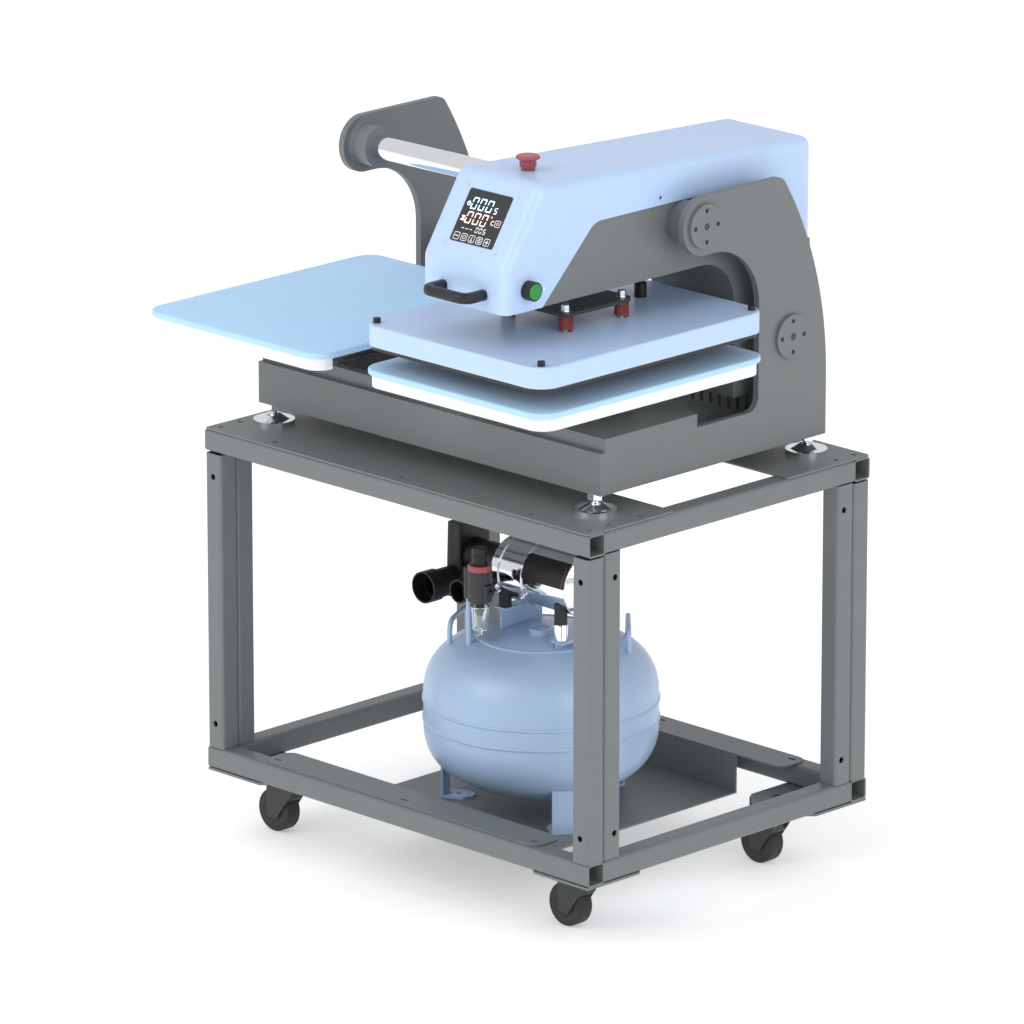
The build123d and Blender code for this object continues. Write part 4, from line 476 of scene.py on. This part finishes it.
class PRESS_OT_pads(bpy.types.Operator):
    """Lay the two silicone pads on their tables"""

    bl_idname = "press.pads"
    bl_label = "Table Pads"

    def execute(self, context):
        pads = context.scene.press_pads
        low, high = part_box("table_pads")
        inner_edge = 48 * MM
        left = self.pad("left_table_pad", low, (-inner_edge, high.y, high.z), pads)
        right = self.pad("right_table_pad", (inner_edge, low.y, low.z), high, pads)
        for piece in (left, right):
            settle(piece, "stand", FINISH["pad"])
        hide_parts("table_pads")
        return {"FINISHED"}

    def pad(self, name, low, high, look):
        """Slab on a grid: rows go from the underside's middle out over the edge to the top's middle.

        Each row is the outline of a rounded rectangle, shrunk towards the middle; the rim is two
        quarter circles and the top rises by the crown times one minus the fourth power of the way out.
        """
        centre = (np.asarray(low) + np.asarray(high)) / 2
        half = (np.asarray(high) - np.asarray(low)) / 2
        edge = look.edge_round
        quarter = np.linspace(0, pi / 2, 7)
        under = np.array([1.0, 0.7, 0.4, 0.15])
        over = np.array([0.05, 0.15, 0.4, 0.7, 1.0])
        inset = np.concatenate([
            under * half[0],
            edge * (1 - np.sin(quarter)),
            edge * (1 - np.cos(quarter)),
            over * half[0],
        ])
        level = np.concatenate([
            np.full(len(under), -half[2]),
            -half[2] + edge * (1 - np.cos(quarter)),
            half[2] - edge * (1 - np.sin(quarter)) - look.crown,
            np.full(len(over), half[2] - look.crown),
        ])
        inset = np.minimum(inset, half[0] - 0.2 * MM)
        out = 1 - inset / half[0]
        top = np.arange(len(inset)) >= len(under) + len(quarter)
        level = level + np.where(top, look.crown * (1 - out**4), 0)
        steps = 96
        angle = np.linspace(0, 2 * pi, steps, endpoint=False) + pi / steps
        radius = np.maximum(look.corner_radius - inset, 0.1 * MM)
        wide = half[0] - inset - radius
        long = half[1] - inset - radius
        wide, long = np.maximum(wide, 0), np.maximum(long, 0.02 * MM)
        x = np.sign(np.cos(angle)) * wide[:, None] + radius[:, None] * np.cos(angle)
        y = np.sign(np.sin(angle)) * long[:, None] + radius[:, None] * np.sin(angle)
        z = np.repeat(level[:, None], len(angle), 1)
        points = centre + np.stack([x, y, z], -1)
        return face_out(grid_object(name, points, close_v=True, caps=True))


class PRESS_OT_display(bpy.types.Operator):
    """Draw the display's digits and key outlines on the screen"""

    bl_idname = "press.display"
    bl_label = "Display"

    # Widths, heights and bar widths of the figures, and the keys' width, height, corner and line;
    # these and every place on the screen are in millimetres, right and up from its middle
    big = (12.5, 21, 2.2)
    middling = (7, 11, 1.5)
    small = (6, 9.5, 1.3)
    key = (13, 13, 3, 1.0)
    side_key = (12, 12, 3, 1.0)
    big_left, big_pitch = -26, 17
    count_left, count_pitch = 1, 8.5
    key_left, key_pitch, key_row = -36.5, 17.2, -37

    def execute(self, context):
        look = context.scene.press_display
        pale = (0.75, 0.76, 0.78)
        cyan_glow = self.glow("time_glow", look.time_colour, look.glow)
        warm_glow = self.glow("heat_glow", look.heat_colour, look.glow)
        pale_glow = self.glow("key_glow", pale, look.glow / 2)
        for name, parts, finish in (
            ("display_time", self.time_row(), cyan_glow),
            ("display_heat", self.heat_row(), warm_glow),
            ("display_count", self.count_row(), pale_glow),
            ("display_keys", self.keys_and_icons(), pale_glow),
        ):
            piece = join_pieces(name, parts)
            settle(piece, "carriage", finish)
        return {"FINISHED"}

    def glow(self, name, colour, strength):
        """Smooth glowing finish."""
        return make_finish(name, tuple(colour), 0.5, glow=strength, bump=0, vary=0.02)

    def big_zeros(self, level):
        """Three large zeros in a row."""
        return [self.digit(self.big_left + self.big_pitch * i, level, *self.big, "0") for i in range(3)]

    def time_row(self):
        """Upper figures with a clock, a ring with its two hands, before them."""
        hands = [(-39.2, 20, -37.8, 24), (-39.2, 19.4, -36, 20.6)]
        clock = [self.ring(-38.5, 20, 4.0, 1.4), self.bars(hands)]
        return self.big_zeros(22) + [self.digit(24, 17, *self.middling, "5")] + clock

    def heat_row(self):
        """Lower figures with a degree ring and an open ring after them and a press before them."""
        press = [(-43, -10.5, -33, -8), (-40.5, -8, -35.5, -4), (-42, -4, -34, -1.5)]
        degrees = [self.ring(21.5, 5.5, 1.6, 0.8), self.arc(28, -3.5, 4.2, 1.4)]
        return self.big_zeros(-3) + degrees + [self.bars(press)]

    def count_row(self):
        """Three small figures with three short dashes before them."""
        figures = [
            self.digit(self.count_left + self.count_pitch * i, -21, *self.small, figure)
            for i, figure in enumerate("005")
        ]
        dashes = [(-33, -23, -27, -21.8), (-24, -23, -18, -21.8), (-15, -23, -9, -21.8)]
        return figures + [self.bars(dashes)]

    def keys_and_icons(self):
        """Five key outlines below and one at the side, each with its icon."""
        keys = [
            self.frame(self.key_left + self.key_pitch * i, self.key_row, *self.key) for i in range(5)
        ]
        side = [self.frame(39, -3, *self.side_key), self.ring(39, -3, 2.6, 0.9)]
        minus_and_plus = [(-40.5, -37.7, -32.5, -36.3), (28.3, -37.7, 36.3, -36.3), (31.6, -41, 33, -33)]
        stem = [(-2.8, -41, -1.4, -33), (-4.2, -41, 0, -39.6)]
        lines = [(11.5, -40.5, 18.7, -39.3), (11.5, -37.6, 18.7, -36.4), (11.5, -34.7, 18.7, -33.5)]
        dial = self.ring(-19.3, self.key_row, 3.4, 1.0)
        return keys + side + [self.bars(minus_and_plus), dial, self.bars(stem), self.bars(lines)]

    def lift(self, flat):
        """Place flat (right, up) points in millimetres on the sloped screen, just proud of its face."""
        low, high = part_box("control_screen")
        middle = (np.array(low) + np.array(high)) / 2
        slope = np.hypot(HOOD_FRONT_RUN, HOOD_FRONT_RISE)
        run, rise = HOOD_FRONT_RUN / slope, HOOD_FRONT_RISE / slope
        right = np.array([1.0, 0, 0])
        up = np.array([0, run, rise])
        out = np.array([0, -rise, run])
        face = middle + out * (SCREEN_THICKNESS / 2 + PRINT_HEIGHT) * MM
        flat = np.asarray(flat, float) * MM
        return face + flat[..., :1] * right + flat[..., 1:2] * up

    def strip(self, name, inner, outer, closed):
        """Flat band between two lines of points."""
        points = self.lift(np.stack([np.asarray(outer, float), np.asarray(inner, float)]))
        if closed:
            return grid_object(name, points, close_v=True)
        return grid_object(name, points)

    def bars(self, boxes):
        """Rectangles given by their left, low, right and high sides."""
        parts = [
            self.strip("bar", [(a, d), (c, d)], [(a, b), (c, b)], False) for a, b, c, d in boxes
        ]
        return join_pieces("bars", parts) if len(parts) > 1 else parts[0]

    def ring(self, x, y, radius, width):
        """Circle band: the same angle on two radii."""
        angle = np.linspace(0, 2 * pi, 28, endpoint=False)
        unit = np.stack([np.cos(angle), np.sin(angle)], -1)
        centre = np.array([x, y])
        return self.strip("ring", centre + unit * (radius - width), centre + unit * radius, True)

    def arc(self, x, y, radius, width):
        """Open circle band that leaves a gap on its right."""
        angle = np.linspace(radians(50), radians(310), 24)
        unit = np.stack([np.cos(angle), np.sin(angle)], -1)
        centre = np.array([x, y])
        return self.strip("arc", centre + unit * (radius - width), centre + unit * radius, False)

    def frame(self, x, y, wide, high, corner, width):
        """Rounded square band: straight sides pushed out from four corner circles."""
        angle = np.linspace(0, 2 * pi, 40, endpoint=False) + pi / 40
        unit = np.stack([np.cos(angle), np.sin(angle)], -1)
        core = np.array([x, y]) + np.sign(unit) * np.array([wide / 2 - corner, high / 2 - corner])
        return self.strip("key", core + unit * (corner - width), core + unit * corner, True)

    def digit(self, x, y, wide, high, width, figure):
        """Seven bars, of which the figure lights some; a slant moves each point right as it goes up."""
        lit = {"0": "abcdef", "5": "afgcd"}[figure]
        gap = width * 0.18
        left, right = x - wide / 2, x + wide / 2
        low, top = y - high / 2, y + high / 2
        bars = {
            "a": (left + gap, top - width, right - gap, top),
            "d": (left + gap, low, right - gap, low + width),
            "g": (left + gap, y - width / 2, right - gap, y + width / 2),
            "f": (left, y + gap, left + width, top - gap),
            "e": (left, low + gap, left + width, y - gap),
            "b": (right - width, y + gap, right, top - gap),
            "c": (right - width, low + gap, right, y - gap),
        }
        slant = 0.09
        nip = width * 0.45
        parts = []
        for key in lit:
            a, b, c, d = bars[key]
            if key == "a":
                upper, lower = [(a, d), (c, d)], [(a + 2 * nip, b), (c - 2 * nip, b)]
            elif key in "dg":
                upper, lower = [(a + nip, d), (c - nip, d)], [(a, b), (c, b)]
            else:
                upper, lower = [(a, d - nip), (c, d - nip)], [(a, b + nip), (c, b + nip)]
            lines = np.array([upper, lower], float)
            lines[..., 0] += slant * (lines[..., 1] - y)
            parts.append(self.strip("segment", lines[0], lines[1], False))
        return join_pieces("digit", parts)


class PRESS_OT_handle(bpy.types.Operator):
    """Bend the pull handle from one rounded bar"""

    bl_idname = "press.handle"
    bl_label = "Pull Handle"

    def execute(self, context):
        radius = context.scene.press_fittings.grip_radius
        low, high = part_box("front_handle")
        z = (low.z + high.z) / 2
        front = low.y + radius
        corners = [
            (low.x + radius, high.y, z), (low.x + radius, front, z),
            (high.x - radius, front, z), (high.x - radius, high.y, z),
        ]
        bend = 17 * MM
        path = rounded_path(corners, bend, 12)
        piece = swept("pull_handle", path, radius, (0, 0, 1), steps=32, power=2.6)
        settle(piece, "carriage", FINISH["black"])
        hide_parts("front_handle")
        return {"FINISHED"}


class PRESS_OT_stop_button(bpy.types.Operator):
    """Turn the stop button's mushroom head and its red collar"""

    bl_idname = "press.stop_button"
    bl_label = "Stop Button"

    def execute(self, context):
        steps = context.scene.press_fittings.steps
        low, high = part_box("estop_button")
        x, y = (low.x + high.x) / 2, (low.y + high.y) / 2
        tall = (high.z - low.z) / MM
        reach = (high.x - low.x) / 2 / MM
        skirt, under = 6.3, 13.1
        stem, skirt_inside, neck = 7.9, 11.9, 14.0
        profile = [
            (0.2, 0.4), (0.2, stem), (under, stem), (under, skirt_inside), (skirt, skirt_inside),
            (skirt, neck - 0.3), (skirt + 0.3, neck), (tall - 9.6, neck),
            (tall - 8.0, neck + 0.9), (tall - 6.6, neck + 3.2),
            (tall - 5.6, reach - 0.6), (tall - 4.8, reach), (tall - 3.0, reach),
            (tall - 1.8, reach - 0.5), (tall - 0.9, reach - 1.9), (tall - 0.4, reach - 5),
            (tall - 0.1, reach - 10), (tall, 3),
        ]
        head = turned("stop_button_head", (x, y, low.z), (0, 0, 1), profile, steps)
        settle(head, "estop", FINISH["red"])
        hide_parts("estop_button")
        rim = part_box("button_housings")[1].z
        sleeve = [(-8.6, 11.52), (-8.6, 11.72), (-0.4, 11.72), (-0.1, 11.6), (-0.1, 11.52)]
        collar = turned_band("stop_button_collar", (x, y, rim), (0, 0, 1), sleeve, steps)
        settle(collar, "carriage", FINISH["red"])
        return {"FINISHED"}


class PRESS_OT_sockets(bpy.types.Operator):
    """Flare the rail sockets where they meet the side plates"""

    bl_idname = "press.sockets"
    bl_label = "Socket Flares"

    def execute(self, context):
        look = context.scene.press_fittings
        flare = look.socket_flare / MM
        plate_inner_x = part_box("left_side_plate")[1].x
        low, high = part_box("slide_rails")
        rail_radius = 20 * MM
        places = (
            (low.y + rail_radius, high.z - rail_radius), (high.y - rail_radius, low.z + rail_radius),
        )
        socket_radius = 35.55
        quarter = np.linspace(pi / 2, 0, 8)
        curve = [
            (flare * (1 - sin(a)) + 0.05, socket_radius + 0.05 + flare * (1 - cos(a))) for a in quarter
        ]
        profile = [(0.05, socket_radius)] + curve
        parts = []
        for y, z in places:
            for x, inwards in ((plate_inner_x, 1), (-plate_inner_x, -1)):
                parts.append(turned_band("flare", (x, y, z), (inwards, 0, 0), profile, look.steps))
        piece = join_pieces("rail_socket_flares", parts)
        settle(piece, "stand", FINISH["bed"])
        return {"FINISHED"}


class PRESS_OT_wheel_rims(bpy.types.Operator):
    """Add a rim on both faces of each caster wheel"""

    bl_idname = "press.wheel_rims"
    bl_label = "Wheel Rims"

    def execute(self, context):
        steps = context.scene.press_fittings.steps
        for place in ("front", "rear"):
            for side in ("left", "right"):
                low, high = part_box(f"{place}_{side}_caster_wheel")
                middle = (low + high) / 2
                half = (high.y - low.y) / 2 / MM
                rim = [
                    (-half - 0.35, 24.5), (-half - 0.35, 26.5), (-half - 0.05, 27.5), (-half + 1, 27),
                    (-half + 1, 24),
                ]
                near = turned_band("rim", middle, (0, 1, 0), rim, steps)
                far = turned_band("rim", middle, (0, -1, 0), rim, steps)
                piece = join_pieces(f"{place}_{side}_wheel_rims", [near, far])
                settle(piece, f"{place}_{side}_wheel", FINISH["satin"])
        return {"FINISHED"}


class PRESS_OT_compressor_trim(bpy.types.Operator):
    """Add the motor shell's bead and wire hoops, the mounts' sleeves and the bowl's tube"""

    bl_idname = "press.compressor_trim"
    bl_label = "Compressor Trim"

    def execute(self, context):
        steps = context.scene.press_fittings.steps
        self.bead(steps)
        self.sleeves(steps)
        self.clips()
        self.cover_line()
        self.bowl_tube(steps)
        return {"FINISHED"}

    def bead(self, steps):
        """Raised bead where the motor shell's end begins to dome."""
        low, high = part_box("motor_shroud")
        y, z = (low.y + high.y) / 2, (low.z + high.z) / 2
        shell = (high.y - low.y) / 2 / MM
        dome = 14 * MM
        bead = [
            (-3.2, shell + 0.02), (-3.2, shell + 0.9), (-1.6, shell + 1.5), (-0.1, shell + 0.9),
            (-0.1, shell + 0.02),
        ]
        piece = turned_band("shroud_bead", (high.x - dome, y, z), (1, 0, 0), bead, steps)
        settle(piece, "stand", FINISH["chrome"])

    def sleeves(self, steps):
        """Bright sleeve round the foot of each of the two right mounts."""
        low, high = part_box("motor_mounts")
        post = 11.0
        sleeve = [
            (0.2, post + 0.05), (0.2, post + 1.6), (2.0, post + 1.9), (28.0, post + 1.9),
            (30.0, post + 1.4), (30.0, post + 0.05),
        ]
        x = high.x - post * MM
        places = (low.y + post * MM, high.y - post * MM)
        parts = [turned_band("mount_sleeve", (x, y, low.z), (0, 0, 1), sleeve, steps) for y in places]
        settle(join_pieces("mount_sleeves", parts), "stand", FINISH["chrome"])

    def clips(self):
        """Two wire hoops round the motor shell, each held by two screws that stand out from it."""
        low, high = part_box("motor_shroud")
        y, z = (low.y + high.y) / 2, (low.z + high.z) / 2
        shell = (high.y - low.y) / 2
        wire = 1.3 * MM
        screw = [(0.2, 3.2), (6.0, 3.2), (6.6, 2.6), (9.5, 1.6)]
        screw_turns = (212, 300)
        cover_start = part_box("pump_cover")[0].x
        parts = []
        for x in (cover_start - 5 * MM, low.x + 17 * MM):
            hoop = circle_run(x, y, z, shell + wire, 0, 360)
            parts.append(swept("hoop", hoop, wire, (1, 0, 0), steps=10))
            for turn in screw_turns:
                out = np.array([0, cos(radians(turn)), sin(radians(turn))])
                foot = np.array([x, y, z]) + out * shell
                parts.append(turned("screw", foot, out, screw, 20))
        settle(join_pieces("shell_clips", parts), "stand", FINISH["chrome"])

    def cover_line(self):
        """Thin red line along a short run of the pump cover's edge."""
        low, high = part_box("motor_shroud")
        y, z = (low.y + high.y) / 2, (low.z + high.z) / 2
        cover_low, cover_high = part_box("pump_cover")
        radius = y - cover_low.y + 0.2 * MM
        inset, half_width = 4 * MM, 0.5 * MM
        first_turn, last_turn = 137, 171
        path = circle_run(cover_high.x - inset, y, z, radius, first_turn, last_turn)
        line = swept("cover_line", path, half_width, (1, 0, 0), steps=8)
        settle(line, "stand", FINISH["red"])

    def bowl_tube(self, steps):
        """Dark inner tube that hangs in the clear bowl below the regulator's body."""
        low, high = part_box("water_bowl")
        spot = ((low.x + high.x) / 2, (low.y + high.y) / 2, high.z)
        tube = [(-2.6, 7.5), (-9.0, 7.5), (-10.0, 6.0), (-15.0, 5.5), (-15.6, 4.8)]
        piece = turned("bowl_tube", spot, (0, 0, 1), tube, steps)
        settle(piece, "stand", FINISH["black"])


class PRESS_OT_stage(bpy.types.Operator):
    """Set the pale floor, the soft lights and the camera"""

    bl_idname = "press.stage"
    bl_label = "Studio"

    def execute(self, context):
        scene = context.scene
        look = scene.press_studio
        self.floor()
        world = bpy.data.worlds.new("pale_surroundings")
        world.use_nodes = True
        world.node_tree.nodes["Background"].inputs["Color"].default_value = (0.97, 0.98, 1.0, 1)
        world.node_tree.nodes["Background"].inputs["Strength"].default_value = look.sky
        scene.world = world
        scene.view_settings.view_transform = "Standard"
        self.area("key_light", (-1.2, -4.2, 3.6), 3.2, look.key)
        self.area("fill_light", (4.6, -0.6, 2.6), 3.0, look.fill)
        camera = bpy.data.objects.new("view_camera", bpy.data.cameras.new("view_camera"))
        scene.collection.objects.link(camera)
        across, above = radians(FRONT_AZIMUTH), radians(FRONT_ELEVATION)
        back = Vector((sin(across) * cos(above), -cos(across) * cos(above), sin(above)))
        camera.location = Vector(CAMERA_TARGET) + back * CAMERA_DISTANCE
        camera.rotation_mode = "QUATERNION"
        camera.rotation_quaternion = (-back).to_track_quat("-Z", "Y")
        camera.data.sensor_width = 36
        camera.data.lens = LENS
        camera.data.clip_start, camera.data.clip_end = 0.1, 100
        scene.camera = camera
        return {"FINISHED"}

    def floor(self):
        """Flat square sheet a little below the wheels' lowest point."""
        half, below = 14, 0.2 * MM
        side = np.linspace(-half, half, 3)
        x, y = np.meshgrid(side, side, indexing="ij")
        sheet = grid_object("studio_floor", np.stack([x, y, np.full_like(x, -below)], -1))
        pale = make_finish(
            "pale_floor", (0.93, 0.93, 0.93), 0.8, grain=60, vary=0.004, bump=0.0, glow=0.35
        )
        sheet.data.materials.append(pale)

    def area(self, name, spot, size, power):
        """Square soft light that looks at the press."""
        light = bpy.data.lights.new(name, "AREA")
        light.size = size
        light.energy = power
        lamp = bpy.data.objects.new(name, light)
        lamp.location = spot
        aim = Vector(LIGHT_AIM) - Vector(spot)
        lamp.rotation_mode = "QUATERNION"
        lamp.rotation_quaternion = aim.to_track_quat("-Z", "Y")
        bpy.context.scene.collection.objects.link(lamp)


class PRESS_PT_panel(bpy.types.Panel):
    """Sidebar panel that lists the press's settings and pieces"""

    bl_label = "Heat Press"
    bl_idname = "PRESS_PT_panel"
    bl_space_type = "VIEW_3D"
    bl_region_type = "UI"
    bl_category = "Heat Press"

    def draw(self, context):
        scene = context.scene
        for group in (
            scene.press_finish, scene.press_pads, scene.press_display, scene.press_fittings,
            scene.press_studio,
        ):
            box = self.layout.box()
            for key in group.__annotations__:
                box.prop(group, key)
        for operator in OPERATORS:
            self.layout.operator(operator.bl_idname)


SETTINGS = {
    "press_finish": PressFinishSettings,
    "press_pads": PressPadSettings,
    "press_display": PressDisplaySettings,
    "press_fittings": PressFittingSettings,
    "press_studio": PressStudioSettings,
}
OPERATORS = (
    PRESS_OT_stage, PRESS_OT_finishes, PRESS_OT_pads, PRESS_OT_display, PRESS_OT_handle,
    PRESS_OT_stop_button, PRESS_OT_sockets, PRESS_OT_wheel_rims, PRESS_OT_compressor_trim,
)


def register():
    """Register the settings, the operators and the panel."""
    for name, group in SETTINGS.items():
        bpy.utils.register_class(group)
        setattr(bpy.types.Scene, name, PointerProperty(type=group))
    for operator in OPERATORS:
        bpy.utils.register_class(operator)
    bpy.utils.register_class(PRESS_PT_panel)


def unregister():
    """Take the panel, the operators and the settings away again."""
    bpy.utils.unregister_class(PRESS_PT_panel)
    for operator in reversed(OPERATORS):
        bpy.utils.unregister_class(operator)
    for name, group in SETTINGS.items():
        delattr(bpy.types.Scene, name)
        bpy.utils.unregister_class(group)


def main():
    """Dress the press piece by piece."""
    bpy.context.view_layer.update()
    register()
    bpy.ops.press.stage()
    bpy.ops.press.finishes()
    bpy.ops.press.pads()
    bpy.ops.press.display()
    bpy.ops.press.handle()
    bpy.ops.press.stop_button()
    bpy.ops.press.sockets()
    bpy.ops.press.wheel_rims()
    bpy.ops.press.compressor_trim()


if __name__ == "__main__":
    main()
